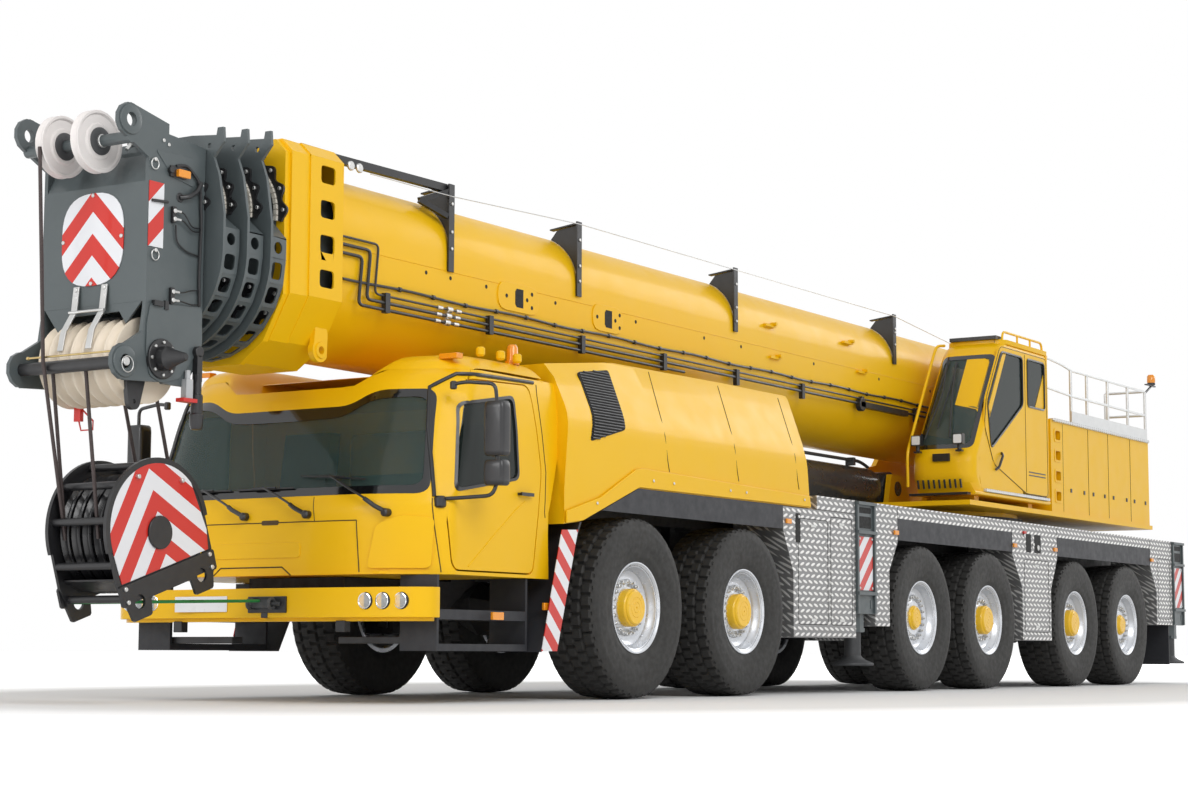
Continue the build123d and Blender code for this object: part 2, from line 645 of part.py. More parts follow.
def cab_glazing():
    """The wrap-round windscreen and the rear window, just inside the shell's openings."""
    pane = cab_form(CAB_WALL + TIGHT) - cab_form(CAB_WALL + TIGHT + GLASS)
    right = [(CAB_HALF - inside, z) for inside, z in SCREEN_PANE]
    screen = cross_plate(right + [(-y, z) for y, z in reversed(right)], (6600, BUMPER_FRONT))
    half, (low, high) = CAB_REAR_WINDOW_HALF + 60, CAB_REAR_WINDOW_Z
    rear = block((CAB_REAR, CAB_REAR + 260), (-half, half), (low - 60, high + 60))
    return (pane & screen) + (pane & rear)


def cab_interior():
    """Two seats on plinths and the dash with the wheel's column."""
    floor = CAB_FLOOR + CAB_WALL
    pieces = []
    for y in (-CAB_SEAT_Y, CAB_SEAT_Y):
        seat = block((5800, 6200), (y - 190, y + 190), (floor + TIGHT, floor + SEAT_BASE))
        seat += block((5700, 6230), (y - 250, y + 250), (floor + SEAT_BASE, floor + SEAT_TOP))
        foot, head = floor + SEAT_TOP - 20, floor + SEAT_BACK
        back = ((5600, foot), (5750, foot), (5640, head), (5520, head))
        pieces.append(seat + side_plate(back, (y - 230, y + 230)))
    dash = (
        (6560, floor + TIGHT),
        (6790, floor + TIGHT),
        (6790, floor + SEAT_TOP),
        (6700, floor + SEAT_TOP + 90),
        (6480, floor + SEAT_TOP + 20),
    )
    pieces.append(side_plate(dash, (-800, 800)))
    return fused(pieces)


def cab_door():
    """Left door with its window cut, its handle and the two mirrors on their arms."""
    y = (CAB_HALF - DOOR, CAB_HALF)
    door = side_plate(DOOR_OUTLINE, y) - side_plate(DOOR_WINDOW, (y[0] - 1, y[1] + 1))
    door += block((5640, 5800), (CAB_HALF, CAB_HALF + 30), (1500, 1535))
    near, far = CAB_HALF + MIRROR_OUT[0], CAB_HALF + MIRROR_OUT[1]
    arm_x = (MIRROR_X[0] + 35, MIRROR_X[0] + 35 + MIRROR_ARM)
    for low, high in MIRRORS:
        door += block(MIRROR_X, (near, far), (low, high))
        z = (low + high) / 2
        door += block(arm_x, (CAB_HALF - 20, near + 20), (z - MIRROR_ARM / 2, z + MIRROR_ARM / 2))
    return door + block(arm_x, (near + 60, near + 60 + MIRROR_ARM), (MIRRORS[1][1] - 10, MIRRORS[0][0] + 10))


def front_bumper():
    """The bumper that wraps round the cab's front, with the towing bracket."""
    plan = [(x, HALF_WIDTH - inside) for x, inside in BUMPER_SWEEP] + [(BUMPER_FRONT, 0)]
    inner = [(x, HALF_WIDTH - inside) for x, inside in BUMPER_INNER]
    inner += [(x - BUMPER_DEPTH, y) for x, y in plan[-2:]]
    plan += [(x, -y) for x, y in reversed(plan[:-1])]
    inner += [(x, -y) for x, y in reversed(inner[:-1])]
    ring = floor_plate(plan + inner[::-1], (BUMPER_BOTTOM, BUMPER_TOP))
    ring += block((TOW_REAR, TOW_FRONT), (-TOW_HALF, TOW_HALF), TOW_Z)
    for side in (-1, 1):
        ring += block((BUMPER_FRONT - 60, BUMPER_FRONT + 90), (side * 60 - 20, side * 60 + 20), (640, 760))
    return ring


# ---- superstructure ----
def turntable():
    """Slewing ring, platform, the two cheeks that carry the boom and the lift cylinder's foot lugs."""
    ring = post(SLEW_X, 0, (SLEW_RING_TOP + TIGHT, PLATFORM_TOP - 40), SLEW_RADIUS - 60, RING_SIDES)
    front = PLATFORM_X[1]
    plate = block(PLATFORM_X, (-HALF_WIDTH + 50, HALF_WIDTH - 20), (PLATFORM_TOP - 50, PLATFORM_TOP))
    plate -= block((LIFT_FOOT_X + 215, front + 10), (-240, 240), (PLATFORM_TOP - 51, PLATFORM_TOP + 1))
    base = ((PLATFORM_X[0] + 80, PLATFORM_TOP - 10), (CHEEK_FRONT, PLATFORM_TOP - 10))
    cheek = side_plate(base + CHEEK_RISE, (CHEEK_Y, CHEEK_Y + CHEEK))
    cheek -= bore(PIVOT_X, PIVOT_Z, PIVOT_RADIUS, (CHEEK_Y, CHEEK_Y + CHEEK))
    lug = side_plate(
        ((-3600, PLATFORM_TOP - 10), (-2950, PLATFORM_TOP - 10), (-3050, 2300), (-3360, 2300)), LIFT_LUG_Y
    )
    lug -= bore(LIFT_FOOT_X, LIFT_Z, LIFT_PIN_RADIUS, LIFT_LUG_Y)
    bearer_outline = (
        (WINCH_X - 250, PLATFORM_TOP - 10),
        (WINCH_X + 250, PLATFORM_TOP - 10),
        (WINCH_X + 90, WINCH_Z + 140),
        (WINCH_X - 90, WINCH_Z + 140),
    )
    bearer = side_plate(bearer_outline, WINCH_BEARER_Y)
    bearer -= bore(WINCH_X, WINCH_Z, WINCH_SHAFT_RADIUS, WINCH_BEARER_Y)
    return ring + plate + both_sides(cheek + lug + bearer)


def upper_cab_form(inset):
    """The crane driver's cab with its raked front glass, or that form taken in on every side."""
    sill, chin, belt, brow = UPPER_FRONT
    side = (
        (UPPER_REAR + inset, UPPER_FLOOR + inset),
        (sill[0] - inset, UPPER_FLOOR + inset),
        (chin[0] - inset, chin[1]),
        (belt[0] - inset, belt[1]),
        (brow[0] - inset, brow[1] - inset),
        (brow[0] - 160, UPPER_ROOF - inset),
        (UPPER_REAR + inset, UPPER_ROOF - inset),
    )
    return side_plate(side, (UPPER_INNER_Y + inset, HALF_WIDTH - inset))


def upper_cab_shell():
    """Upper cab walls with the front, roof and side windows and the doorway cut."""
    shell = upper_cab_form(0) - upper_cab_form(UPPER_WALL)
    shell -= side_plate(((-2380, 2480), (-2200, 2480), (-3100, 3560), (-3260, 3560)), UPPER_PANE_Y)
    shell -= side_plate(((-2300, 2480), (-2700, 2480), (-3400, 3520), (-3000, 3560)), UPPER_PANE_Y)
    shell -= block((-4300, -3500), (UPPER_INNER_Y - 80, UPPER_INNER_Y + 80), (2700, 3500))
    shell -= side_plate(grown(UPPER_DOOR, CLEAR), (HALF_WIDTH - DOOR - TIGHT, HALF_WIDTH + 20))
    shell -= side_plate(grown(UPPER_DOOR, -DOOR_LIP), (HALF_WIDTH - 80, HALF_WIDTH))
    foot_y, foot_z = (UPPER_INNER_Y + 120, HALF_WIDTH - 120), (PLATFORM_TOP, UPPER_FLOOR + 5)
    for x in (UPPER_REAR + 300, UPPER_REAR + 1800):
        shell += block((x - 60, x + 60), foot_y, foot_z)
    return shell


def upper_cab_glazing():
    """Front and right-hand panes of the upper cab."""
    inside = UPPER_WALL + TIGHT
    pane = upper_cab_form(inside) - upper_cab_form(inside + GLASS)
    overlap_y = (UPPER_PANE_Y[0] - 20, UPPER_PANE_Y[1] + 20)
    front = pane & side_plate(((-2300, 2440), (-2800, 2440), (-3500, 3600), (-3000, 3600)), overlap_y)
    right = pane & block((-4340, -3460), (UPPER_INNER_Y, UPPER_INNER_Y + 120), (2660, 3540))
    return front + right


def upper_cab_interior():
    """The crane driver's seat with its two armrest consoles."""
    floor, y = UPPER_FLOOR + UPPER_WALL, UPPER_SEAT_Y
    base, top, head = floor + SEAT_BASE + 70, floor + SEAT_TOP + 70, UPPER_ROOF - 390
    seat = block((-3900, -3500), (y - 140, y + 140), (floor + TIGHT, base))
    seat += block((-3980, -3440), (y - 240, y + 240), (base, top))
    back = ((-4120, top - 20), (-3960, top - 20), (-4060, head), (-4180, head))
    return seat + side_plate(back, (y - 230, y + 230))


def upper_cab_door():
    """Door in the upper cab's left side, with its window cut."""
    y = (HALF_WIDTH - DOOR, HALF_WIDTH)
    return side_plate(UPPER_DOOR, y) - side_plate(UPPER_DOOR_WINDOW, (y[0] - 1, y[1] + 1))


def side_lockers():
    """Lockers on both sides behind the cab, with the step recesses in the left one's front corner."""
    inner, outer = LOCKER_Y
    locker = block(LOCKER_X, LOCKER_Y, (PLATFORM_TOP, LOCKER_TOP))
    for step in range(STEP_HOLES):
        z = STEP_HOLE_Z + STEP_HOLE_PITCH * step
        locker -= block(STEP_HOLE_X, (outer - STEP_HOLE_DEPTH, outer + 1), (z, z + STEP_HOLE_HEIGHT))
    right_x = (LOCKER_X[0], RIGHT_LOCKER_FRONT)
    return locker + block(right_x, (-outer, -inner), (PLATFORM_TOP, RIGHT_LOCKER_TOP))


def walkway_rails():
    """Handrail round the walkway on top of the left lockers, with its toe board."""
    rear, front = RAIL_POSTS_X[0] - 15, RAIL_POSTS_X[-1] + 15
    inner, outer = LOCKER_Y[0] + 20, LOCKER_Y[1] - 10
    post_z = (LOCKER_TOP, RAIL_TOP + RAIL_HALF + 3)
    pieces = [block((x - 15, x + 15), (outer - 30, outer), post_z) for x in RAIL_POSTS_X]
    pieces.append(block((rear, rear + 30), (inner, inner + 30), post_z))
    for z in (RAIL_MIDDLE, RAIL_TOP):
        rail_z = (z - RAIL_HALF, z + RAIL_HALF)
        pieces.append(block((rear, front), (outer - 25, outer), rail_z))
        pieces.append(block((rear, rear + 25), (inner, outer), rail_z))
    pieces.append(block((rear, front), (outer - 5, outer + 7), (LOCKER_TOP, LOCKER_TOP + TOE_BOARD)))
    return fused(pieces)


def winch_drum():
    """Hoist winch drum between the cheeks, with its flanges and shaft."""
    shaft_half = WINCH_BEARER_Y[1] + WINCH_FLANGE
    drum = across(WINCH_X, WINCH_Z, WINCH_RADIUS, (-WINCH_HALF, WINCH_HALF), DISC_SIDES)
    drum += across(WINCH_X, WINCH_Z, WINCH_SHAFT_RADIUS, (-shaft_half, shaft_half))
    for y in (-WINCH_HALF - WINCH_FLANGE, WINCH_HALF):
        drum += across(WINCH_X, WINCH_Z, WINCH_FLANGE_RADIUS, (y, y + WINCH_FLANGE), DISC_SIDES)
    return drum


# ---- lift cylinder ----
def lift_cylinder_barrel():
    """Barrel with its foot eye and pin, lying level under the boom."""
    rear, front = LIFT_FOOT_X + LIFT_BARREL_BACK, LIFT_FOOT_X + LIFT_BARREL_FRONT
    barrel = along((rear, front), LIFT_Z, LIFT_BARREL_RADIUS)
    barrel -= along((rear + LIFT_BARREL_END, front + 1), LIFT_Z, LIFT_ROD_RADIUS + TIGHT)
    eye_half = LIFT_LUG_Y[0] - LIFT_EYE_SIDE
    barrel += across(LIFT_FOOT_X, LIFT_Z, LIFT_EYE_RADIUS, (-eye_half, eye_half))
    barrel += block((LIFT_FOOT_X, rear + 10), (-eye_half + 20, eye_half - 20), (LIFT_Z - 150, LIFT_Z + 150))
    return barrel + across(LIFT_FOOT_X, LIFT_Z, LIFT_PIN_RADIUS, (-LIFT_LUG_Y[1] - 10, LIFT_LUG_Y[1] + 10))


def lift_cylinder_rod():
    """Rod with its eye, between the two plates of the boom's bracket."""
    rear = LIFT_FOOT_X + LIFT_BARREL_BACK + LIFT_BARREL_END + ROD_END_GAP
    eye_half = LIFT_BRACKET_Y[0] - LIFT_EYE_SIDE
    rod = along((rear, LIFT_EYE_X), LIFT_Z, LIFT_ROD_RADIUS)
    return rod + across(LIFT_EYE_X, LIFT_Z, LIFT_ROD_EYE_RADIUS, (-eye_half, eye_half))


# ---- boom ----
def boom_outline(half, belly, top):
    """Boom section in Y and Z: flat top, wide round upper corners, straight sides and a belly of equal bends."""
    middle = belly + half
    turns = [pi * n / BELLY_BENDS for n in range(BELLY_BENDS + 1)]
    bends = [(-half * cos(turn), middle - half * sin(turn)) for turn in turns]
    corner = half - BOOM_CROWN
    turns = [pi * n / (2 * TOP_BENDS) for n in range(TOP_BENDS + 1)]
    right = [(BOOM_CROWN + corner * cos(turn), top - corner + corner * sin(turn)) for turn in turns]
    return bends + right + [(-y, z) for y, z in reversed(right)]


def tube(x, half, belly, top):
    """A stretch of boom section as a solid bar."""
    return cross_plate(boom_outline(half, belly, top), x)


def section_tube(number):
    """One hollow telescopic section."""
    half, belly, top, rear, front, _, _, _ = SECTIONS[number]
    wall = BOOM_WALL
    inside = tube((rear - 1, front + 1), half - wall, belly + wall, top - wall)
    return tube((rear, front), half, belly, top) - inside


def collar(number):
    """The stiffened front end of a section, bored for the next one, with windows in its sides."""
    half, bottom, top = SECTIONS[number][5:]
    front, rear = COLLAR_ENDS[number], SECTIONS[number][4]
    inner = SECTIONS[number + 1]
    middle = bottom + half
    chamfer = 150
    outline = [
        (-half, middle - 60),
        (-half * 0.72, bottom + half * 0.27),
        (-half * 0.38, bottom),
        (half * 0.38, bottom),
        (half * 0.72, bottom + half * 0.27),
        (half, middle - 60),
        (half, top - chamfer),
        (half - chamfer, top),
        (-half + chamfer, top),
        (-half, top - chamfer),
    ]
    ring = cross_plate(outline, (rear, front))
    return ring - tube((rear - 1, front + 1), inner[0] + TIGHT, inner[1] - TIGHT, inner[2] + TIGHT)


def boom_base():
    """Base section with its pivot tube, its bracket for the lift cylinder and its front collar."""
    base = section_tube(0) + collar(0)
    half = SECTIONS[0][5]
    for z in COLLAR_WINDOWS_Z:
        for side in (-1, 1):
            base -= block(COLLAR_WINDOW_X, (side * (half - 95), side * (half + 45)), (z, z + COLLAR_WINDOW))
    pivot = across(PIVOT_X, PIVOT_Z, 200, (-CHEEK_Y + CLEAR, CHEEK_Y - CLEAR))
    pivot += across(PIVOT_X, PIVOT_Z, PIVOT_RADIUS, (-CHEEK_Y - CHEEK - 20, CHEEK_Y + CHEEK + 20))
    first = SECTIONS[1]
    room = tube((BOOM_REAR + 20, first[3] - 50), first[0] + 4, first[1] - 10, first[2] + 10)
    base += pivot - room
    x, root, foot = LIFT_EYE_X, LIFT_Z - 60, LIFT_Z - 150
    outline = (
        (x - 495, LIFT_BRACKET_TOP),
        (x + 555, LIFT_BRACKET_TOP),
        (x + 165, root),
        (x + 105, foot),
        (x - 105, foot),
        (x - 165, root),
    )
    bracket = side_plate(outline, LIFT_BRACKET_Y) - bore(x, LIFT_Z, LIFT_PIN_RADIUS, LIFT_BRACKET_Y)
    half, belly, top = SECTIONS[0][:3]
    return base + both_sides(bracket - tube((x - 600, x + 600), half - 10, belly + 10, top - 10))


def boom_section(number):
    """A moving section; the last one carries the boom head."""
    if number < len(SECTIONS) - 1:
        return section_tube(number) + collar(number)
    return section_tube(number) + boom_head()


def boom_head():
    """Head box: side plates with lugs for the head pins, front plate, top plate and sheave axle."""
    y = (HEAD_HALF - HEAD_PLATE, HEAD_HALF)
    side = side_plate(
        (
            (HEAD_REAR, 2330),
            (HEAD_REAR + 160, HEAD_BOTTOM),
            (8560, HEAD_BOTTOM),
            (HEAD_FRONT + 40, 2330),
            (HEAD_FRONT, 2600),
            (HEAD_FRONT, 3600),
            (HEAD_FRONT - 100, HEAD_TOP),
            (HEAD_REAR, HEAD_TOP - 40),
        ),
        y,
    )
    foot_x, eye = HEAD_FRONT - 185, (HEAD_PIN_X, HEAD_PIN_TOP)
    foot = ((foot_x, 3500), (HEAD_PIN_X + 30, 3700), (HEAD_PIN_X, 3925), (foot_x, 3850))
    side += eyelet(eye, HEAD_EYE_TOP, y, HEAD_PIN_RADIUS, foot)
    eye = (HEAD_PIN_X, HEAD_PIN_BOTTOM)
    foot = ((foot_x, 2120), (HEAD_PIN_X, 2100), (HEAD_PIN_X, 2340), (foot_x, 2560))
    side += eyelet(eye, HEAD_EYE_BOTTOM, y, HEAD_PIN_RADIUS, foot)
    head = both_sides(side)
    low, slope, roof = HEAD_FACE
    roof_x, plate = HEAD_FRONT - 95, 25
    face = (
        (HEAD_FRONT, low),
        (HEAD_FRONT, slope),
        (roof_x, roof),
        (roof_x - plate, roof),
        (HEAD_FRONT - plate, slope - 10),
        (HEAD_FRONT - plate, low),
    )
    head += side_plate(face, (-y[1], y[1]))
    head += block((HEAD_REAR, roof_x), (-y[1], y[1]), (roof, roof + plate))
    head += block((HEAD_REAR, HEAD_REAR + 20), (-y[1], y[1]), (low - 40, roof + plate))
    head += across(SHEAVE_X, SHEAVE_Z, SHEAVE_AXLE_RADIUS, (-HEAD_HALF - 60, HEAD_HALF + 60))
    head += across(TOP_SHEAVE_X, TOP_SHEAVE_Z, TOP_AXLE_RADIUS, (-HEAD_HALF, HEAD_HALF))
    opening = SECTIONS[4]
    half, belly, top = opening[0] - BOOM_WALL, opening[1] + BOOM_WALL, opening[2] - BOOM_WALL
    return head - tube((HEAD_REAR - 1, HEAD_REAR + 21), half, belly, top)


def head_sheaves():
    """The rope sheaves in the head: a stack at the bottom and a pair at the top."""
    thick = SHEAVE_PITCH - SHEAVE_SPACE
    stack = []
    for n in range(-LOWER_SHEAVES // 2 + 1, LOWER_SHEAVES // 2 + 1):
        y = (n * SHEAVE_PITCH - thick / 2, n * SHEAVE_PITCH + thick / 2)
        stack.append(across(SHEAVE_X, SHEAVE_Z, SHEAVE_RADIUS, y, DISC_SIDES))
    reach = (LOWER_SHEAVES // 2) * SHEAVE_PITCH
    stack.append(across(SHEAVE_X, SHEAVE_Z, SHEAVE_HUB_RADIUS, (-reach, reach)))
    pieces = fused(stack) - bore(SHEAVE_X, SHEAVE_Z, SHEAVE_AXLE_RADIUS, (-HEAD_HALF, HEAD_HALF))
    for y in TOP_SHEAVE_Y:
        span = (y - thick / 2, y + thick / 2)
        disc = across(TOP_SHEAVE_X, TOP_SHEAVE_Z, TOP_SHEAVE_RADIUS, span, DISC_SIDES)
        pieces += disc - bore(TOP_SHEAVE_X, TOP_SHEAVE_Z, TOP_AXLE_RADIUS, span)
    return pieces


# ---- hook block ----
def rope_falls():
    """Straight falls that leave the head's lower sheaves and meet the block's sheaves as common tangents."""
    run_x, run_z = BLOCK_X - SHEAVE_X, BLOCK_Z - SHEAVE_Z
    run = hypot(run_x, run_z)
    head_reach = SHEAVE_RADIUS + ROPE / 2 + TIGHT
    block_reach = BLOCK_SHEAVE_RADIUS - ROPE / 2
    along = (head_reach - block_reach) / run
    falls = []
    for side in (-1, 1):
        out = side * (1 - along**2) ** 0.5
        normal = (along * run_x - out * run_z) / run, (along * run_z + out * run_x) / run
        for n in FALL_SHEAVES:
            y = n * SHEAVE_PITCH
            top = (SHEAVE_X + head_reach * normal[0], y, SHEAVE_Z + head_reach * normal[1])
            low = (BLOCK_X + block_reach * normal[0], y, BLOCK_Z + block_reach * normal[1])
            falls.append(strut(top, low, ROPE))
    return falls


def hook_block():
    """Multi-sheave block between two cheek plates, pulled back on its rope falls."""
    y = (BLOCK_HALF, BLOCK_HALF + BLOCK_CHEEK)
    upright = side_plate(BLOCK_OUTLINE, y)
    foot, low = BLOCK_OUTLINE[1]
    for near, far in ((-foot, -foot + 220), (foot - 220, foot)):
        upright += side_plate(((near, low - 120), (far, low - 120), (far, low + 10), (near, low + 10)), y)
    whole = both_sides(upright)
    for n in range(-2, 3):
        y = n * SHEAVE_PITCH
        whole += across(0, 0, BLOCK_SHEAVE_RADIUS, (y - 25, y + 25), DISC_SIDES)
    whole += across(0, 0, BLOCK_BOSS_RADIUS, (-BLOCK_HALF - 50, BLOCK_HALF + 50))
    for x, z in BLOCK_CROSSBARS:
        whole += block((x - 30, x + 30), (-BLOCK_HALF - 5, BLOCK_HALF + 5), (z - 30, z + 30))
    return Pos(BLOCK_X, 0, BLOCK_Z) * Rot(0, BLOCK_TILT, 0) * whole + fused(rope_falls())


# ---- the assembly ----
def assembly():
    """Every node's name and its shape, in the crane's own frame."""
    nodes = {
        "chassis": chassis(),
        "deck_plating": deck_plating(),
        "mudguards_and_steps": mudguards_and_steps(),
        "engine_housings": engine_housings(),
        "engine_block": engine_block(),
        "cab_shell": cab_shell(),
        "cab_glazing": cab_glazing(),
        "cab_interior": cab_interior(),
        "cab_door_left": cab_door(),
        "cab_door_right": mirror(cab_door(), about=Plane.XZ),
        "front_bumper": front_bumper(),
        "turntable": turntable(),
        "upper_cab_shell": upper_cab_shell(),
        "upper_cab_glazing": upper_cab_glazing(),
        "upper_cab_interior": upper_cab_interior(),
        "upper_cab_door": upper_cab_door(),
        "side_lockers": side_lockers(),
        "walkway_rails": walkway_rails(),
        "winch_drum": winch_drum(),
        "lift_cylinder_barrel": lift_cylinder_barrel(),
        "lift_cylinder_rod": lift_cylinder_rod(),
        "boom_base": boom_base(),
        "head_sheaves": head_sheaves(),
        "hook_block": hook_block(),
    }
    for number in range(1, len(SECTIONS)):
        nodes[f"boom_section_{number}"] = boom_section(number)
    for (x, bays), place in zip(outrigger_bays(), ("front", "rear")):
        for bay in bays:
            side = "left" if bay[2] > 0 else "right"
            nodes[f"outrigger_beam_{place}_{side}"] = outrigger(x, bay)
            nodes[f"jack_foot_{place}_{side}"] = jack_foot(x, bay[2])
    wheel_y = HALF_WIDTH - TYRE_WIDTH / 2
    for number, (x, hub_radius, hub_proud) in enumerate(AXLES, 1):
        tyre, rim, hub = wheel(hub_radius, hub_proud)
        steer = knuckle()
        for side, turn in (("left", 0), ("right", 180)):
            at = Pos(x, wheel_y * cos(radians(turn)), TYRE_RADIUS) * Rot(0, 0, turn)
            nodes[f"wheel_{number}_{side}"] = Compound([at * tyre, at * rim, at * hub])
            pin = Pos(x, KINGPIN_Y * cos(radians(turn)), TYRE_RADIUS) * Rot(0, 0, turn)
            nodes[f"knuckle_{number}_{side}"] = pin * steer
    return nodes


os.makedirs("parts", exist_ok=True)
for name, shape in assembly().items():
    export_step(shape, f"parts/{name}.step")
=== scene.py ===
from math import cos, pi, radians, sin

import bmesh
import bpy
import numpy as np
from mathutils import Matrix, Vector
from mathutils.geometry import tessellate_polygon


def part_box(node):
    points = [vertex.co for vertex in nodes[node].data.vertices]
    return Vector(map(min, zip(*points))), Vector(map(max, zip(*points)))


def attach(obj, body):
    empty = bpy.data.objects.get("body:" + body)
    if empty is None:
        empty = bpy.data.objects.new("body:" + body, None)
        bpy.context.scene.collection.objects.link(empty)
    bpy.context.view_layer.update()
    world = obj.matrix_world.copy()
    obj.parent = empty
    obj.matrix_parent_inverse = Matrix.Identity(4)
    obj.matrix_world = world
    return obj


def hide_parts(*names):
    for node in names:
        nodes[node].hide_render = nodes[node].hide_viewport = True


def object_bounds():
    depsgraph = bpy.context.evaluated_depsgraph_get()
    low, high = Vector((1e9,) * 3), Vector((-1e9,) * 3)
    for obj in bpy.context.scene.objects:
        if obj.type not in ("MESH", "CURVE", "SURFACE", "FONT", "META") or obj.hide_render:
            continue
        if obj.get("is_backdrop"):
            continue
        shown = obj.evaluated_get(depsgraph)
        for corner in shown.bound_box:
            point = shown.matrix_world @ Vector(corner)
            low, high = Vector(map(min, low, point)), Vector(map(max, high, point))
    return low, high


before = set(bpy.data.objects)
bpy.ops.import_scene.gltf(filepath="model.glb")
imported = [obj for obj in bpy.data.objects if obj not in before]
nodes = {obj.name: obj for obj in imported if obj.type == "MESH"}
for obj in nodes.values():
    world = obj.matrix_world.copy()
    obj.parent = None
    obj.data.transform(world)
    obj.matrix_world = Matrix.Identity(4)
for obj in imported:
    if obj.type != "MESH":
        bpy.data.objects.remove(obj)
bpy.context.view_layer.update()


ACROSS = (0, 1, 0)  # the side of a path that stays in a plane of X and Z


# ---- shapes: each returns its points as an array and its faces as a list ----
def grid(points, close_u=False, close_v=False):
    """Quads between neighbours of a (u, v, 3) grid; a closed direction joins its last row to its first."""
    rows, columns = points.shape[:2]
    index = np.arange(rows * columns).reshape(rows, columns)
    if close_u:
        index = np.vstack([index, index[:1]])
    if close_v:
        index = np.hstack([index, index[:, :1]])
    quads = np.stack([index[:-1, :-1], index[1:, :-1], index[1:, 1:], index[:-1, 1:]], -1)
    return points.reshape(-1, 3), quads.reshape(-1, 4).tolist()


def lathe(profile, centre=(0, 0, 0), axis="y", count=48):
    """Points (along, radius) turned about an axis.

    The two other values are the radius times the turn's cosine and sine.
    """
    along, radius = np.array(profile, float).T
    turn = np.linspace(0, 2 * pi, count, endpoint=False)
    first, second = np.outer(radius, np.cos(turn)), np.outer(radius, np.sin(turn))
    line = np.repeat(along[:, None], count, 1)
    order = {"x": (line, first, second), "y": (first, line, second), "z": (first, second, line)}[axis]
    return grid(np.stack(order, -1) + np.array(centre, float), close_v=True)


def disc(centre, radius, low, high, axis="y", count=32, edge=0.0):
    """A round bar from low to high about an axis, with its rims taken in by an edge: a lathe."""
    profile = [
        (low, 0), (low, radius - edge), (low + edge, radius), (high - edge, radius), (high, radius - edge),
        (high, 0),
    ]
    return lathe(profile, centre, axis, count)


def prism(outline, plane, low, high, holes=()):
    """An outline with holes in a plane, carried straight along the third axis and filled at both ends."""
    loops = [np.array(loop, float) for loop in (outline, *holes)]
    flat = np.vstack(loops)
    order = {"xz": (0, 2, 1), "yz": (1, 2, 0), "xy": (0, 1, 2)}[plane]
    points = np.zeros((2 * len(flat), 3))
    points[:, order[0]] = np.tile(flat[:, 0], 2)
    points[:, order[1]] = np.tile(flat[:, 1], 2)
    points[:, order[2]] = np.repeat([low, high], len(flat))
    fill = tessellate_polygon([[Vector((a, b, 0)) for a, b in loop] for loop in loops])
    faces = [tuple(f) for f in fill] + [tuple(len(flat) + n for n in reversed(f)) for f in fill]
    start = 0
    for loop in loops:
        near = start + np.arange(len(loop))
        far = np.roll(near, -1)
        faces += np.stack([near, far, far + len(flat), near + len(flat)], 1).tolist()
        start += len(loop)
    return points, faces


def block(x, y, z):
    """A rectangle in X and Z carried across in Y."""
    return prism([(x[0], z[0]), (x[1], z[0]), (x[1], z[1]), (x[0], z[1])], "xz", y[0], y[1])


def section_along(section, path, side=None, closed=False):
    """A closed section of (across, up) points carried along a path, each ring square to the path there."""
    path, section = np.array(path, float), np.array(section, float)
    if closed:
        run = np.roll(path, -1, 0) - np.roll(path, 1, 0)
    else:
        run = np.gradient(path, axis=0)
    run /= np.linalg.norm(run, axis=1)[:, None]
    if side is None:
        side = np.eye(3)[np.abs(run).sum(0).argmin()]
    up = np.cross(run, side)
    up /= np.linalg.norm(up, axis=1)[:, None]
    across = np.cross(up, run)
    rings = path[:, None] + across[:, None] * section[None, :, :1] + up[:, None] * section[None, :, 1:]
    points, faces = grid(rings, close_u=closed, close_v=True)
    if not closed:
        count = len(section)
        faces += [list(range(count)), list(range(len(points) - 1, len(points) - count - 1, -1))]
    return points, faces


def bar(path, radius, count=10, side=None, closed=False):
    """A round section carried along a path."""
    return section_along(circle((0, 0), radius, count), path, side, closed)


def rounded(before, corner, after, reach, steps, most=1.0):
    """A corner as a parabola between points a reach away on both runs, at most a share of the run.

    The point is (1 - s)^2 near + 2 s (1 - s) corner + s^2 far, with s from 0 to 1.
    """
    ends = []
    for end in (before, after):
        length = np.linalg.norm(end - corner)
        ends.append(corner + (end - corner) * min(reach, length * most) / length)
    share = np.linspace(0, 1, steps)[:, None]
    return (1 - share) ** 2 * ends[0] + 2 * share * (1 - share) * corner + share**2 * ends[1]


def eased(corners, reach, steps=5):
    """An open path with its corners rounded."""
    corners = np.array(corners, float)
    path = [rounded(*three, reach, steps) for three in zip(corners, corners[1:], corners[2:])]
    return np.vstack([corners[:1], *path, corners[-1:]])


def round_outline(corners, radius, steps=4):
    """A closed outline with its corners rounded, up to nearly the middle of each run."""
    corners = np.array(corners, float)
    threes = zip(np.roll(corners, 1, 0), corners, np.roll(corners, -1, 0))
    return np.vstack([rounded(*three, radius, steps, 0.49) for three in threes])


def rectangle(x, z, radius=0.0):
    """A rectangle's outline, with rounded corners where a radius is given."""
    corners = [(x[0], z[0]), (x[1], z[0]), (x[1], z[1]), (x[0], z[1])]
    return round_outline(corners, radius) if radius else np.array(corners, float)


def arc(centre, radius, turn):
    """Points in a plane at some turns about a centre; the radius is a number, a pair or a column of them."""
    return np.array(centre) + radius * np.stack([np.cos(turn), np.sin(turn)], 1)


def circle(centre, radius, count=16):
    """Points of a circle in a plane."""
    return arc(centre, radius, np.linspace(0, 2 * pi, count, endpoint=False))


def at_y(outline, y):
    """An outline in X and Z as a path at one Y."""
    return np.column_stack([outline[:, 0], np.full(len(outline), y), outline[:, 1]])


def hoop(centre, y, radius, thick, count=20, sides=6):
    """A ring of round wire in X and Z."""
    return bar(at_y(circle(centre, radius, count), y), thick, sides, side=ACROSS, closed=True)


def flat_bar(path, across, up, side=None):
    """A rectangle of two half sizes carried along a path."""
    return section_along([(-across, -up), (across, -up), (across, up), (-across, up)], path, side)


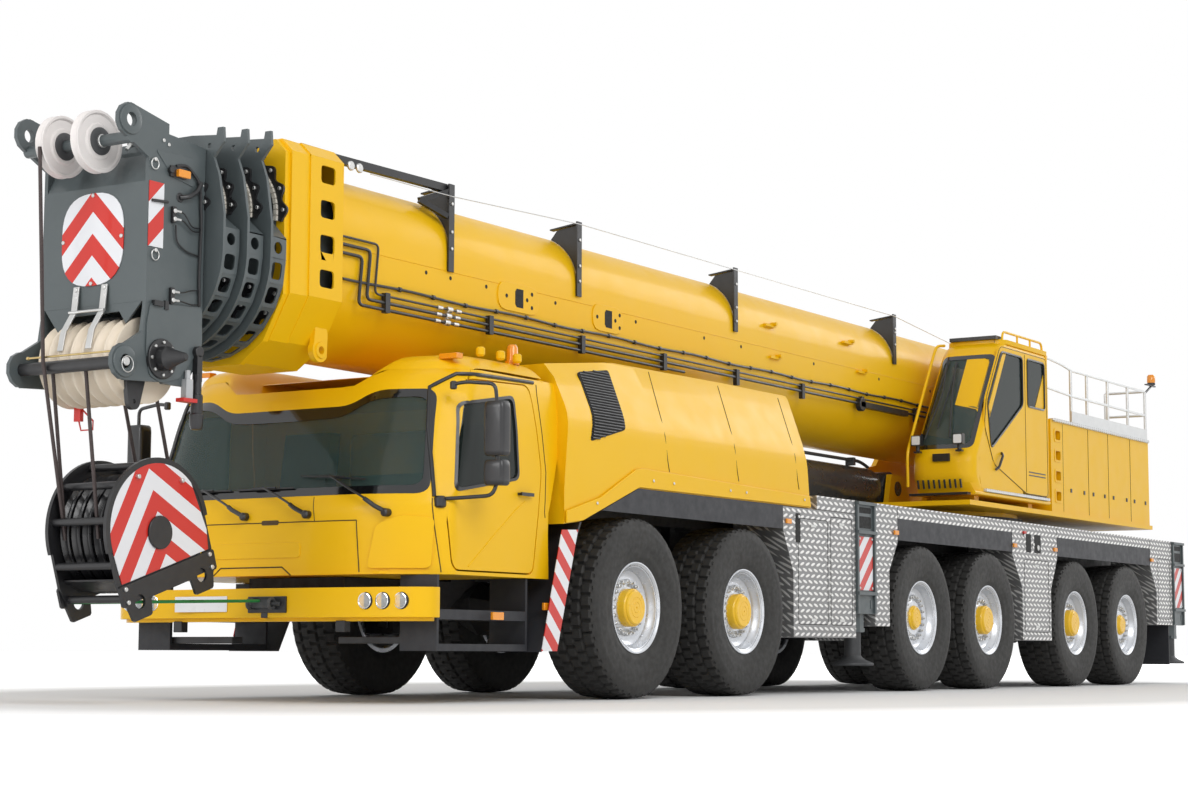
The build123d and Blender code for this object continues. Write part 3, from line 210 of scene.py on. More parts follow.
def placed(shape, matrix):
    """A shape turned and moved by a matrix."""
    matrix = np.array(matrix)
    return shape[0] @ matrix[:3, :3].T + matrix[:3, 3], shape[1]


def right_side(shape):
    """A left-hand shape as its mirror image on the right."""
    return shape[0] * (1, -1, 1), [list(reversed(face)) for face in shape[1]]


def both(*shapes):
    """Left-hand shapes with their mirror images."""
    return [*shapes, *map(right_side, shapes)]


def on_side(side, *shapes):
    """Left-hand shapes, or their mirror images for the right side."""
    return [right_side(shape) for shape in shapes] if side == "right" else [*shapes]


def all_placed(shapes, matrix):
    """Shapes turned and moved together."""
    return [placed(shape, matrix) for shape in shapes]


def piece(name, body, finish, shapes, bevel=0.0, sharp=32, replaces=()):
    """One object of the shapes together, with its faces pointing out, riding on a body."""
    points, faces, start = [], [], 0
    for shape_points, shape_faces in shapes:
        points.append(shape_points)
        faces += [[start + n for n in face] for face in shape_faces]
        start += len(shape_points)
    mesh = bpy.data.meshes.new(name)
    mesh.from_pydata(np.vstack(points).tolist(), [], faces)
    work = bmesh.new()
    work.from_mesh(mesh)
    bmesh.ops.remove_doubles(work, verts=work.verts, dist=1e-5)
    bmesh.ops.dissolve_degenerate(work, edges=work.edges, dist=1e-6)
    bmesh.ops.recalc_face_normals(work, faces=work.faces)
    work.to_mesh(mesh)
    work.free()
    mesh.polygons.foreach_set("use_smooth", np.ones(len(mesh.polygons), bool))
    mesh.set_sharp_from_angle(angle=radians(sharp))
    mesh.materials.append(finish)
    made = bpy.data.objects.new(name, mesh)
    bpy.context.scene.collection.objects.link(made)
    if bevel:
        rim = made.modifiers.new("rim", "BEVEL")
        rim.width, rim.segments, rim.limit_method, rim.angle_limit = bevel, 2, "ANGLE", radians(40)
        rim.harden_normals = True
    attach(made, body)
    if replaces:
        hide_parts(*replaces)
    return made


# ---- finishes ----
def started(name):
    """A new material with its tree, its shader and its Object coordinates."""
    made = bpy.data.materials.new(name)
    made.use_nodes = True
    tree = made.node_tree
    return made, tree, tree.nodes["Principled BSDF"], tree.nodes.new("ShaderNodeTexCoord").outputs["Object"]


def noise(tree, coordinates, scale, detail=4.0):
    """A noise pattern's value."""
    made = tree.nodes.new("ShaderNodeTexNoise")
    made.inputs["Scale"].default_value = scale
    made.inputs["Detail"].default_value = detail
    tree.links.new(coordinates, made.inputs["Vector"])
    return made.outputs["Fac"]


def sums(tree, operation, *values):
    """One step of arithmetic on values or links."""
    made = tree.nodes.new("ShaderNodeMath")
    made.operation = operation
    for socket, value in zip(made.inputs, values):
        if isinstance(value, (int, float)):
            socket.default_value = value
        else:
            tree.links.new(value, socket)
    return made.outputs[0]


def between(tree, share, low, high):
    """A colour between two, by a share; each may be a colour or a link."""
    made = tree.nodes.new("ShaderNodeMix")
    made.data_type = "RGBA"
    tree.links.new(share, made.inputs["Factor"])
    for socket, value in ((made.inputs[6], low), (made.inputs[7], high)):
        if isinstance(value, tuple):
            socket.default_value = (*value, 1)
        else:
            tree.links.new(value, socket)
    return made.outputs[2]


def scaled(tree, share, low, high, start=0.0, end=1.0):
    """A share taken from one range to another."""
    made = tree.nodes.new("ShaderNodeMapRange")
    for socket, value in zip(made.inputs[1:5], (start, end, low, high)):
        socket.default_value = value
    tree.links.new(share, made.inputs["Value"])
    return made.outputs[0]


def bumped(tree, shader, height, strength, distance):
    """A height pattern as the shader's bump."""
    made = tree.nodes.new("ShaderNodeBump")
    made.inputs["Strength"].default_value = strength
    made.inputs["Distance"].default_value = distance
    tree.links.new(height, made.inputs["Height"])
    tree.links.new(made.outputs["Normal"], shader.inputs["Normal"])


def finish(
    name, low, high, rough=(0.35, 0.5), metal=0.0, coat=0.0, cloud=1.5, grain=90.0, bump=0.05, depth=0.001,
):
    """Paint, metal or rubber: two tones by broad clouds, roughness by finer ones, a fine grain as bump."""
    made, tree, shader, place = started(name)
    clouds = noise(tree, place, cloud)
    tree.links.new(between(tree, clouds, low, high), shader.inputs["Base Color"])
    tree.links.new(
        scaled(tree, noise(tree, place, cloud * 6), rough[0], rough[1], 0.3, 0.7), shader.inputs["Roughness"],
    )
    shader.inputs["Metallic"].default_value = metal
    shader.inputs["Coat Weight"].default_value = coat
    shader.inputs["Coat Roughness"].default_value = 0.08
    bumped(tree, shader, noise(tree, place, grain, 2.0), bump, depth)
    return made


YELLOW = finish(
    "crane_yellow", (0.86, 0.49, 0.002), (0.90, 0.53, 0.004), rough=(0.34, 0.46), coat=0.10, cloud=0.8,
    grain=40.0, bump=0.03,
)
YELLOW.node_tree.nodes["Principled BSDF"].inputs["Specular IOR Level"].default_value = 0.25
BOOM_GREY = finish(
    "boom_grey", (0.066, 0.082, 0.086), (0.088, 0.106, 0.110), rough=(0.38, 0.55), coat=0.15, cloud=2.0,
    grain=260.0, bump=0.12,
)
BLACK = finish(
    "black_frame_paint", (0.008, 0.008, 0.009), (0.016, 0.016, 0.018), coat=0.1, cloud=2.5, grain=180.0,
    bump=0.08,
)
UNDER = finish(
    "underframe", (0.006, 0.006, 0.006), (0.014, 0.013, 0.013), rough=(0.5, 0.7), cloud=3.0, grain=120.0,
    bump=0.1,
)
SKIRT = finish(
    "skirt_rubber", (0.014, 0.015, 0.019), (0.022, 0.023, 0.028), rough=(0.5, 0.66), cloud=2.5, grain=70.0,
    bump=0.1,
)
TYRE = finish(
    "tyre_rubber", (0.016, 0.0155, 0.0145), (0.031, 0.030, 0.028), rough=(0.62, 0.82), cloud=4.0, grain=230.0,
    bump=0.25,
)
RIM = finish(
    "rim_silver", (0.58, 0.60, 0.64), (0.68, 0.70, 0.73), rough=(0.24, 0.4), metal=0.75, coat=0.1, cloud=5.0,
    grain=300.0, bump=0.04,
)
STEEL = finish(
    "zinc_steel", (0.50, 0.50, 0.49), (0.66, 0.66, 0.65), rough=(0.3, 0.46), metal=0.9, cloud=9.0,
    grain=400.0,
)
CHROME = finish(
    "rod_chrome", (0.78, 0.79, 0.81), (0.84, 0.85, 0.86), rough=(0.06, 0.14), metal=1.0, cloud=3.0,
    grain=300.0, bump=0.01,
)
NYLON = finish(
    "sheave_nylon", (0.72, 0.62, 0.49), (0.80, 0.71, 0.58), rough=(0.36, 0.5), coat=0.1, cloud=4.0,
    grain=120.0,
)
IRON = finish(
    "engine_iron", (0.05, 0.052, 0.055), (0.09, 0.092, 0.095), rough=(0.5, 0.7), metal=0.4, cloud=5.0,
    bump=0.2,
)
SEAT = finish(
    "cab_trim", (0.012, 0.013, 0.014), (0.022, 0.023, 0.025), rough=(0.6, 0.8), cloud=6.0, grain=350.0,
    bump=0.3,
)
RAIL = finish(
    "galvanised_rail", (0.60, 0.61, 0.61), (0.72, 0.73, 0.73), rough=(0.36, 0.5), metal=0.55, cloud=8.0,
    grain=200.0, bump=0.06,
)
CYLINDER = finish(
    "cylinder_grey", (0.030, 0.034, 0.036), (0.048, 0.052, 0.055), rough=(0.24, 0.38), coat=0.4, cloud=2.0,
    grain=150.0, bump=0.04,
)


def tread_plate_finish():
    """Raised lozenges in staggered rows that lean one way, then the other, with a painted highlight on them
    and painted shade on the flats.

    A lozenge is where 1 - (along / half length)^2 - (across / half width)^2 is above 0, in shares of
    its own cell. Rows rise with Z and Y and columns run with X and Y, so that one pattern does for
    upright sides and for the deck.
    """
    made, tree, shader, place = started("tread_plate")
    row_height, column_width = 0.052, 0.105
    half_length, half_width = 0.43, 0.27
    rows_below = 400.0

    def step(*how):
        return sums(tree, *how)

    split = tree.nodes.new("ShaderNodeSeparateXYZ")
    tree.links.new(place, split.inputs[0])
    x, y, z = split.outputs
    row = step("DIVIDE", step("ADD", z, step("MULTIPLY", y, 0.6)), row_height)
    odd = step("MODULO", step("FLOOR", step("ADD", row, rows_below)), 2.0)
    column = step("DIVIDE", step("ADD", x, step("MULTIPLY", y, 0.8)), column_width)
    column = step("ADD", column, step("MULTIPLY", odd, 0.5))
    across = step("SUBTRACT", step("FRACT", column), 0.5)
    along = step("SUBTRACT", step("FRACT", row), 0.5)
    lean = step("SUBTRACT", step("MULTIPLY", odd, 1.0), 0.5)
    short = step("ADD", along, step("MULTIPLY", across, lean))
    long_part = step("POWER", step("DIVIDE", step("ABSOLUTE", across), half_length), 2.0)
    short_part = step("POWER", step("DIVIDE", step("ABSOLUTE", short), half_width), 2.0)
    height = step("SUBTRACT", 1.0, step("ADD", long_part, short_part))
    raised = scaled(tree, height, 0.0, 1.0, 0.0, 0.5)
    soil = scaled(tree, noise(tree, place, 3.0), 0.82, 1.0)
    # bright lozenges on dark flats: a painted highlight on the raised lozenges and painted shade between
    # them; soil dims the lozenges at random
    shade = between(tree, step("MULTIPLY", raised, soil), (0.25, 0.25, 0.25), (0.86, 0.85, 0.83))
    tree.links.new(shade, shader.inputs["Base Color"])
    shader.inputs["Metallic"].default_value = 0.55
    tree.links.new(scaled(tree, noise(tree, place, 60.0), 0.34, 0.5), shader.inputs["Roughness"])
    bumped(tree, shader, raised, 0.5, 0.004)
    return made


def glass_finish(name, tint, rough=0.02, alpha=0.55):
    """Tinted safety glass: a dark glossy pane that lets part of the room behind it through."""
    made, tree, shader, place = started(name)
    tree.links.new(
        between(tree, noise(tree, place, 1.2), tint, tuple(c * 1.25 for c in tint)),
        shader.inputs["Base Color"],
    )
    tree.links.new(scaled(tree, noise(tree, place, 5.0), rough, rough * 2), shader.inputs["Roughness"])
    shader.inputs["Specular IOR Level"].default_value = 0.3
    shader.inputs["Alpha"].default_value = alpha
    return made


def striped(name, slope, period, colours, offset=0.0, fold=None):
    """Warning stripes: the colour changes with the fraction of (place along the slope + offset) / period.

    With a fold, of a direction and a distance, the distance from that line is added, which makes chevrons.
    """
    made, tree, shader, place = started(name)

    def along(direction):
        product = tree.nodes.new("ShaderNodeVectorMath")
        product.operation = "DOT_PRODUCT"
        product.inputs[1].default_value = direction
        tree.links.new(place, product.inputs[0])
        return product.outputs["Value"]

    total = sums(tree, "ADD", along(slope), offset)
    if fold is not None:
        total = sums(
            tree, "ADD", total, sums(tree, "ABSOLUTE", sums(tree, "SUBTRACT", along(fold[0]), fold[1])),
        )
    phase = sums(tree, "FRACT", sums(tree, "DIVIDE", total, period))
    tree.links.new(
        between(tree, sums(tree, "GREATER_THAN", phase, 0.5), *colours), shader.inputs["Base Color"],
    )
    tree.links.new(scaled(tree, noise(tree, place, 30.0), 0.3, 0.42), shader.inputs["Roughness"])
    shader.inputs["Coat Weight"].default_value = 0.3
    bumped(tree, shader, noise(tree, place, 220.0, 2.0), 0.05, 0.0005)
    return made


TREAD_PLATE = tread_plate_finish()
GLASS = glass_finish("windscreen_glass", (0.050, 0.085, 0.078), 0.02, 0.38)
SIGNAL = ((0.62, 0.018, 0.008), (0.80, 0.81, 0.84))  # red and white


def repaint(node, paint):
    """A node of the frame in a finish of the scene."""
    node.data.materials.clear()
    node.data.materials.append(paint)


for paint, *names in (
    (UNDER, "chassis"),
    (TREAD_PLATE, "deck_plating"),
    (SKIRT, "mudguards_and_steps"),
    (
        YELLOW, "engine_housings", "cab_shell", "cab_door_left", "cab_door_right", "front_bumper",
        "turntable", "upper_cab_shell", "upper_cab_door", "side_lockers", "boom_base",
    ),
    (IRON, "engine_block"),
    (GLASS, "cab_glazing", "upper_cab_glazing"),
    (SEAT, "cab_interior", "upper_cab_interior"),
    (RAIL, "walkway_rails"),
    (BOOM_GREY, "winch_drum", "boom_section_1", "boom_section_2", "boom_section_3", "boom_section_4"),
    (CYLINDER, "lift_cylinder_barrel"),
    (CHROME, "lift_cylinder_rod"),
    (NYLON, "head_sheaves"),
    (BLACK, "hook_block"),
):
    for name in names:
        repaint(nodes[name], paint)
for name, node in nodes.items():
    if name.startswith("knuckle_"):
        repaint(node, UNDER)
    if name.startswith(("jack_foot_", "outrigger_beam_")):
        repaint(node, BOOM_GREY)


# ---- wheels ----
TYRE_RADIUS, BEAD_RADIUS = 0.715, 0.355
HALF_TYRE = 0.25
TREAD_BLOCKS = 44
GROOVE = 0.020
INNER_RADIUS, INNER_HALF = 0.33, 0.20  # where the tyre closes behind the rim
WHEEL_MIDDLE = 1.25


def tyre():
    """Sidewall and tread as one grid of (turn, way round the section).

    The section bulges as a power curve between bead and shoulder. On the tread the radius drops by a
    groove where the turn's fraction in its block is near zero; odd ribs start their blocks half a
    block later, and ribs part in grooves.
    """
    turns, around = 352, 66
    edge, rib_width, drop = 0.42, 0.168, 0.012
    turn = np.linspace(0, 2 * pi, turns, endpoint=False)[:, None]
    share = np.linspace(-1, 1, around)[None]
    side = np.clip((np.abs(share) - edge) / (1 - edge), 0, 1)
    width = np.sign(share) * HALF_TYRE * np.where(
        side > 0, 0.84 + 0.16 * np.sin(pi * side**0.8) ** 0.7, np.abs(share) * 2,
    )
    width = np.where(side > 0, np.sign(share) * np.minimum(np.abs(width), HALF_TYRE - 0.001), width)
    shoulder = TYRE_RADIUS - drop * (np.abs(share) / edge) ** 2
    radius = np.where(
        side > 0, TYRE_RADIUS - drop - (TYRE_RADIUS - drop - BEAD_RADIUS) * side**1.15, shoulder,
    )
    rib = np.floor((share + edge) / rib_width)
    block_share = (turn * TREAD_BLOCKS / (2 * pi) + 0.5 * (rib % 2)) % 1
    across = ((share + edge) / rib_width) % 1
    on_tread = np.abs(share) < 0.47
    cut = (block_share < 0.17) | ((across < 0.1) & (np.abs(share) < 0.40))
    radius = radius - GROOVE * (on_tread & cut)
    rings = 0.0035 * (np.exp(-(((side - 0.30) / 0.02) ** 2)) + np.exp(-(((side - 0.44) / 0.015) ** 2)))
    rings = rings + 0.005 * np.exp(-(((side - 0.86) / 0.03) ** 2)) + 0.002 * np.exp(
        -(((side - 0.62) / 0.012) ** 2)
    )
    width = width + np.sign(share) * np.where(side > 0, rings - 0.006, 0)
    radius = np.broadcast_to(radius, (turns, around))
    width = np.broadcast_to(width, (turns, around))
    points = np.stack([radius * np.sin(turn), width, -radius * np.cos(turn)], -1)
    inner = INNER_RADIUS * np.stack([np.sin(turn), 0 * turn, -np.cos(turn)], -1)
    points = np.concatenate([inner - (0, INNER_HALF, 0), points, inner + (0, INNER_HALF, 0)], 1)
    return grid(points, close_u=True, close_v=True)


def rim(proud, hub_radius):
    """Deep-dished rim with its disc, nuts and hub: lathes about the axle."""
    dish = 0.105
    profile = [
        (-0.205, 0.325), (-0.205, 0.358), (-0.19, 0.352), (-0.18, 0.33), (0.15, 0.33), (0.185, 0.338),
        (0.205, 0.3605), (0.214, 0.3600), (0.214, 0.350), (0.203, 0.338), (0.195, 0.322), (0.165, 0.314),
        (0.15, 0.300), (dish + 0.02, 0.292), (dish + 0.006, 0.272), (dish, 0.24), (dish + 0.004, 0.19),
        (dish + 0.02, 0.165), (dish + 0.02, 0.02), (0.06, 0.02), (0.06, 0.27), (-0.19, 0.31),
    ]
    rims = [lathe(profile + profile[:1], count=64)]
    nut_ring, nuts = 0.208, 20
    bolts = []
    for n in range(nuts):
        x, z = nut_ring * cos(2 * pi * n / nuts), nut_ring * sin(2 * pi * n / nuts)
        bolts.append(disc((x, 0, z), 0.017, dish, dish + 0.034, count=6, edge=0.003))
        bolts.append(disc((x, 0, z), 0.010, dish, dish + 0.05, count=8))
    tip = 0.11 + proud
    hub = [
        (dish, 0), (dish, hub_radius), (tip - 0.03, hub_radius), (tip - 0.022, hub_radius - 0.006),
        (tip - 0.02, hub_radius - 0.012),
    ]
    hub += [
        (tip - 0.008, hub_radius - 0.016), (tip, hub_radius - 0.026), (tip, 0.083), (tip - 0.003, 0.080),
        (tip, 0.077),
    ]
    hub += [
        (tip, 0.045), (tip - 0.003, 0.042), (tip, 0.039), (tip, 0.008), (tip - 0.006, 0.006),
        (tip - 0.006, 0),
    ]
    caps = [lathe(hub, count=56)]
    for n in range(3):
        x, z = hub_radius * 0.78 * cos(2 * pi * n / 3 + 0.5), hub_radius * 0.78 * sin(2 * pi * n / 3 + 0.5)
        caps.append(disc((x, 0, z), 0.008, tip - 0.004, tip + 0.003, count=8))
    return rims, bolts, caps


TYRE_SHAPE = tyre()
HUBS = ((0.105, 0.150), (0.105, 0.150), (0.055, 0.120), (0.105, 0.150), (0.105, 0.150), (0.055, 0.120))
HUB_YELLOW = finish(
    "hub_yellow", (0.88, 0.50, 0.006), (0.94, 0.58, 0.012), rough=(0.32, 0.45), coat=0.3, cloud=6.0,
    grain=260.0, bump=0.08,
)
for number, (proud, hub_radius) in enumerate(HUBS, 1):
    rims, bolts, caps = rim(proud, hub_radius)
    for side, turn in (("left", 0), ("right", pi)):
        name = f"wheel_{number}_{side}"
        low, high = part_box(name)
        at = Matrix.Translation((
            (low.x + high.x) / 2, WHEEL_MIDDLE * cos(turn), TYRE_RADIUS,
        ))@ Matrix.Rotation(turn, 4, "Z")
        at = at @ Matrix.Rotation(0.31 * number, 4, "Y")
        piece(
            f"tyre_{number}_{side}", name, TYRE, [placed(TYRE_SHAPE, at)], sharp=24, replaces=(name,),
        )
        piece(f"rim_{number}_{side}", name, RIM, all_placed(rims, at), sharp=30)
        piece(f"nuts_{number}_{side}", name, STEEL, all_placed(bolts, at))
        piece(f"hub_{number}_{side}", name, HUB_YELLOW, all_placed(caps, at), sharp=25)


# ---- boom: outlines are in Y and Z, and run down the left side first ----
FLAT = 0.15  # half of the flat on top, with the upper corners round about its ends


def boom_outline(half, belly, top, steps=10):
    """The boom's section: a flat top, round upper corners, straight sides and a half-round belly."""
    corner = half - FLAT
    left = arc((FLAT, top - corner), corner, np.linspace(pi / 2, 0, steps))
    below = arc((0, belly + half), half, -np.linspace(0, pi, 2 * steps))
    return np.vstack([left, below, (left * (-1, 1))[::-1]])


def panel(start, end, x, thick, holes=()):
    """A flat plate from one (y, z) point to the next, its holes given in X and the distance along it."""
    start, end = np.array(start), np.array(end)
    length = np.linalg.norm(end - start)
    down = (end - start) / length
    out = (-down[1], down[0])
    flat = prism(rectangle(x, (0, length)), "xz", -thick, 0, holes)
    return placed(
        flat, ((1, 0, 0, 0), (0, out[0], down[0], start[0]), (0, out[1], down[1], start[1]), (0, 0, 0, 1)),
    )


def lug(centre, radius, hole, y, foot, count=24):
    """A plate in X and Z with a round end about its hole, drawn in to a foot."""
    end = arc(centre, radius, np.linspace(*foot[0], count))
    return prism(np.vstack([end, foot[1]]), "xz", y[0], y[1], [circle(centre, hole, 20)] if hole else [])


BOOM = "boom_section_4"
SECTIONS = (  # half width, belly, top, rear end, front end
    (0.600, 2.500, 3.860, -6.300, 6.950),
    (0.548, 2.556, 3.796, -5.250, 7.560),
    (0.500, 2.606, 3.736, -5.180, 7.775),
    (0.454, 2.652, 3.680, -5.110, 7.990),
    (0.410, 2.696, 3.626, -5.040, 8.210),
)
WALL, CLEARANCE = 0.012, 0.004
# half width, bottom, top and front of each section's collar
COLLARS = (
    (0.70, 2.380, 3.955, 7.545), (0.69, 2.370, 3.94, 7.76), (0.665, 2.395, 3.915, 7.975),
    (0.64, 2.42, 3.89, 8.19),
)


def sized(number, growth):
    """A section's outline with its walls moved out by the growth."""
    half, belly, top = SECTIONS[number][:3]
    return boom_outline(half + growth, belly - growth, top + growth)


def section_tube(number):
    """One hollow section of the boom."""
    return prism(sized(number, 0), "yz", *SECTIONS[number][3:], holes=[sized(number, -WALL)])


def grey_collar(number):
    """Front flange with two top fins, and the band behind it, bent between cut-outs in a row."""
    half, bottom, top, front = COLLARS[number]
    inner = sized(number + 1, CLEARANCE)
    fin = [
        (0.34, top - 0.03), (half - 0.08, top - 0.05), (half - 0.07, top), (half - 0.02, top),
        (half - 0.012, top - 0.10),
    ]
    fin += [(half - 0.10, top - 0.20), (half - 0.05, top - 0.33), (half, 3.30)]
    middle = bottom + half
    round_part = arc((0, middle), half, -np.linspace(0, pi, 27))
    fin = np.array(fin)
    flange = np.vstack([fin, round_part, (fin * (-1, 1))[::-1]])
    bore = circle((half - 0.14, top - 0.12), 0.020, 12)
    shapes = [prism(flange, "yz", front - 0.024, front, [inner, bore, bore * (-1, 1)])]
    radius = half - 0.022
    upright = middle + 0.15
    path = arc((0, middle), radius, -np.linspace(0, pi, 13))
    path = np.vstack([(radius, upright), path, (-radius, upright)])
    x = (front - 0.19, front - 0.022)
    mid = (x[0] + x[1]) / 2
    for n, (start, end) in enumerate(zip(path, path[1:])):
        length = np.linalg.norm(end - start)
        if n in (0, len(path) - 2):
            hole = circle((mid, length / 2), 0.042, 20)
        else:
            hole = rectangle((mid - 0.052, mid + 0.052), (0.028, length - 0.028), 0.03)
        shapes.append(panel(start, end, x, 0.012, [hole]))
    tube = SECTIONS[number][0]
    lip = [(radius, upright), (radius, upright - 0.01), (tube, upright + 0.11), (tube, upright + 0.125)]
    shapes += both(prism(lip, "yz", *x))
    return shapes


CORNER_TURN = (-0.12, 1.22)  # the stretch of an upper corner that its pads cover


def retainers(number):
    """Lobed black plates that hold the pads, round each upper corner and low on the sides."""
    half, belly, top = SECTIONS[number + 1][:3]
    front = COLLARS[number][3]
    corner, shapes, bolts = half - FLAT, [], []
    for centre, radius, first, last in (
        ((FLAT, top - corner), corner, *CORNER_TURN),
        ((0.0, belly + half), half, -1.05, -0.32),
    ):
        turn = np.linspace(first, last, 60)
        lobes = 4 if last > 0 else 3
        share = (turn - first) / (last - first) * lobes
        outer = radius + 0.092 + 0.022 * np.cos(2 * pi * (share - 0.5))
        inner_radius = radius + (0.036 if last > 0 else 0.006)
        edge, back = arc(centre, outer[:, None], turn), arc(centre, inner_radius, turn)
        shapes += both(prism(np.vstack([edge, back[::-1]]), "yz", front, front + 0.018))
        for n in range(lobes):
            at = first + (n + 0.5) * (last - first) / lobes
            y, z = centre[0] + (radius + 0.080) * cos(at), centre[1] + (radius + 0.080) * sin(at)
            bolts += both(disc((front, y, z), 0.014, 0.015, 0.030, "x", 10, 0.003))
    return shapes, bolts


def pads(number):
    """Cream wear pads in short blocks, one after another round each upper corner."""
    half, _, top = SECTIONS[number + 1][:3]
    corner, front, shapes = half - FLAT, COLLARS[number][3], []
    edges, gap = np.linspace(*CORNER_TURN, 15), 0.006
    for first, last in zip(edges, edges[1:]):
        turn = np.linspace(first + gap, last - gap, 4)
        outer, inner = (arc((FLAT, top - corner), corner + rise, turn) for rise in (0.034, CLEARANCE))
        shapes += both(prism(np.vstack([outer, inner[::-1]]), "yz", front - 0.01, front + 0.034))
    return shapes


PAD = finish(
    "wear_pad", (0.60, 0.56, 0.48), (0.72, 0.69, 0.62), rough=(0.4, 0.6), cloud=14.0, grain=160.0, bump=0.2,
)
for number in range(4):
    body = "boom_base" if number == 0 else f"boom_section_{number}"
    plates, bolts = retainers(number)
    piece(f"retainers_{number}", body, BLACK, plates, bevel=0.003)
    piece(f"retainer_bolts_{number}", body, STEEL, bolts)
    piece(f"wear_pads_{number}", body, PAD, pads(number), bevel=0.002)
    if number:
        piece(
            f"section_tube_{number}", body, BOOM_GREY, [section_tube(number)], sharp=20, replaces=(body,),
        )
        piece(f"grey_collar_{number}", body, BOOM_GREY, grey_collar(number), bevel=0.003, sharp=20)


def base_collar():
    """Yellow front collar: side plates with four windows, bevelled lower corners, a nose with the bore."""
    _, bottom, top, front = COLLARS[0]
    half, eaves, plate, cap = 0.655, 3.86, 0.014, 0.016
    x = (6.93, 7.30)
    windows = [
        rectangle((7.025, 7.185), (eaves - z - 0.128, eaves - z), 0.03) for z in (3.68, 3.43, 3.18, 2.93)
    ]
    path = np.array([(half, eaves), (half, 2.85), (0.47, 2.53), (0.25, bottom)])
    path = np.vstack([path, (path * (-1, 1))[::-1]])
    sides = (0, len(path) - 2)
    shapes = [
        panel(a, b, x, plate, windows if n in sides else ()) for n, (a, b) in enumerate(zip(path, path[1:]))
    ]
    crown = np.array([(-half, eaves), (-0.56, top), (0.56, top), (half, eaves)])
    shapes += [panel(a, b, x, plate) for a, b in zip(crown, crown[1:])]
    outline = np.vstack([path, crown[1:3]])
    tube = sized(0, 0)
    bore = sized(1, CLEARANCE)
    shapes.append(prism(outline * 0.999 + (0, 0.003), "yz", x[0], x[0] + cap, [tube]))
    nose = outline * (0.985, 1) + (0, -0.004)
    lip = front - 0.05
    shapes.append(prism(nose, "yz", x[1] - cap, lip, [bore]))
    shapes.append(prism(nose * (0.97, 1) + (0, -0.012), "yz", lip, front, [bore]))
    return shapes


PIVOT = (-5.705, 0, 3.05)
ROD_EYE, BARREL_EYE, CYLINDER_HEIGHT = 1.795, -3.205, 2.15
bracket = [(1.300, 2.560), (2.350, 2.560), (1.960, 2.090), (1.900, 2.000), (1.690, 2.000), (1.630, 2.090)]
brackets = both(prism(bracket, "xz", 0.20, 0.26, [circle((ROD_EYE, CYLINDER_HEIGHT), 0.0815, 24)]))
trunnions = both(disc(PIVOT, 0.20, 0.585, 0.672, count=48, edge=0.006))
piece(
    "base_tube", "boom_base", YELLOW, [section_tube(0)], sharp=20, replaces=("boom_base",),
)
piece("base_collar", "boom_base", YELLOW, base_collar(), bevel=0.005, sharp=20)
piece("lift_bracket", "boom_base", YELLOW, brackets + trunnions, bevel=0.004)
piece("pivot_pin", "boom_base", STEEL, both(disc(PIVOT, 0.11, 0.60, 0.76, count=40, edge=0.006)))

# ear on the collar's lower corner, seams, window frames and pegs along the base
ear = lug((7.03, 2.50), 0.085, 0.03, (0.50, 0.545), ((-2.6, 0.6), [(7.09, 2.66), (7.02, 2.80), (6.95, 2.62)]))
ear_disc = lathe(
    [(0.545, 0.03), (0.545, 0.06), (0.556, 0.056), (0.556, 0.03), (0.545, 0.03)], (7.03, 0, 2.50), count=28,
)
piece("collar_ears", "boom_base", YELLOW, both(ear, ear_disc), bevel=0.003)
seams, frames, painted_shade_holes, pegs = [], [], [], []
seams += both(bar([(6.90, 0.6005, 3.275), (-5.3, 0.6005, 3.275)], 0.0035, 6))
for x, z, wide in ((4.62, 3.19, 0.29), (3.27, 3.19, 0.24), (-4.3, 3.19, 0.24)):
    frames += both(prism(rectangle((x - wide, x + wide), (z - 0.115, z + 0.115), 0.11), "xz", 0.598, 0.609))
    window = [
        (x - 0.01 + a, z + b)
        for a, b in (
            (-0.055, -0.075), (0.04, -0.075), (0.06, -0.05), (0.06, 0.05), (0.04, 0.075), (-0.055, 0.075),
        )
    ]
    painted_shade_holes += both(prism(window, "xz", 0.600, 0.6105))
    for dx, dz in ((0.17, 0.0), (-0.12, 0.0), (-0.19, 0.055), (-0.19, -0.055)):
        painted_shade_holes += both(disc((x + dx, 0, z + dz), 0.017, 0.600, 0.6105, count=14))
for x in (5.854, 5.541, 5.061, 4.071, 2.80, 1.60, 0.90, -0.6, -2.1, -3.4):
    painted_shade_holes += both(disc((x, 0, 3.225), 0.016, 0.597, 0.6015, count=14))
for x, z in ((0.35, 3.49), (0.25, 3.19), (-1.34, 3.52), (-1.66, 3.25)):
    pegs += both(
        block((x - 0.10, x + 0.10), (0.59, 0.63), (z - 0.012, z + 0.012)),
        disc((x - 0.06, 0, z + 0.02), 0.02, 0.59, 0.66, count=12, edge=0.003),
    )
piece("boom_seams", "boom_base", YELLOW, seams)
piece("window_frames", "boom_base", YELLOW, frames, bevel=0.004)
piece("boom_pegs", "boom_base", YELLOW, pegs, bevel=0.003)
# near-black fill: painted shade in openings, holes, slots, recesses and vents, and the dark joints of the
# hatch lines
SHADE_AND_JOINT_BLACK = finish(
    "painted_shade_and_joint_black", (0.004, 0.004, 0.004), (0.010, 0.010, 0.010), rough=(0.7, 0.9), cloud=6.0, grain=60.0,
)
# dark plates and discs on the boom's side: painted shade in its windows and holes
piece("boom_openings", "boom_base", SHADE_AND_JOINT_BLACK, painted_shade_holes)


BRACKET_TOP, BRACKET_FOOT = 3.955, 3.42


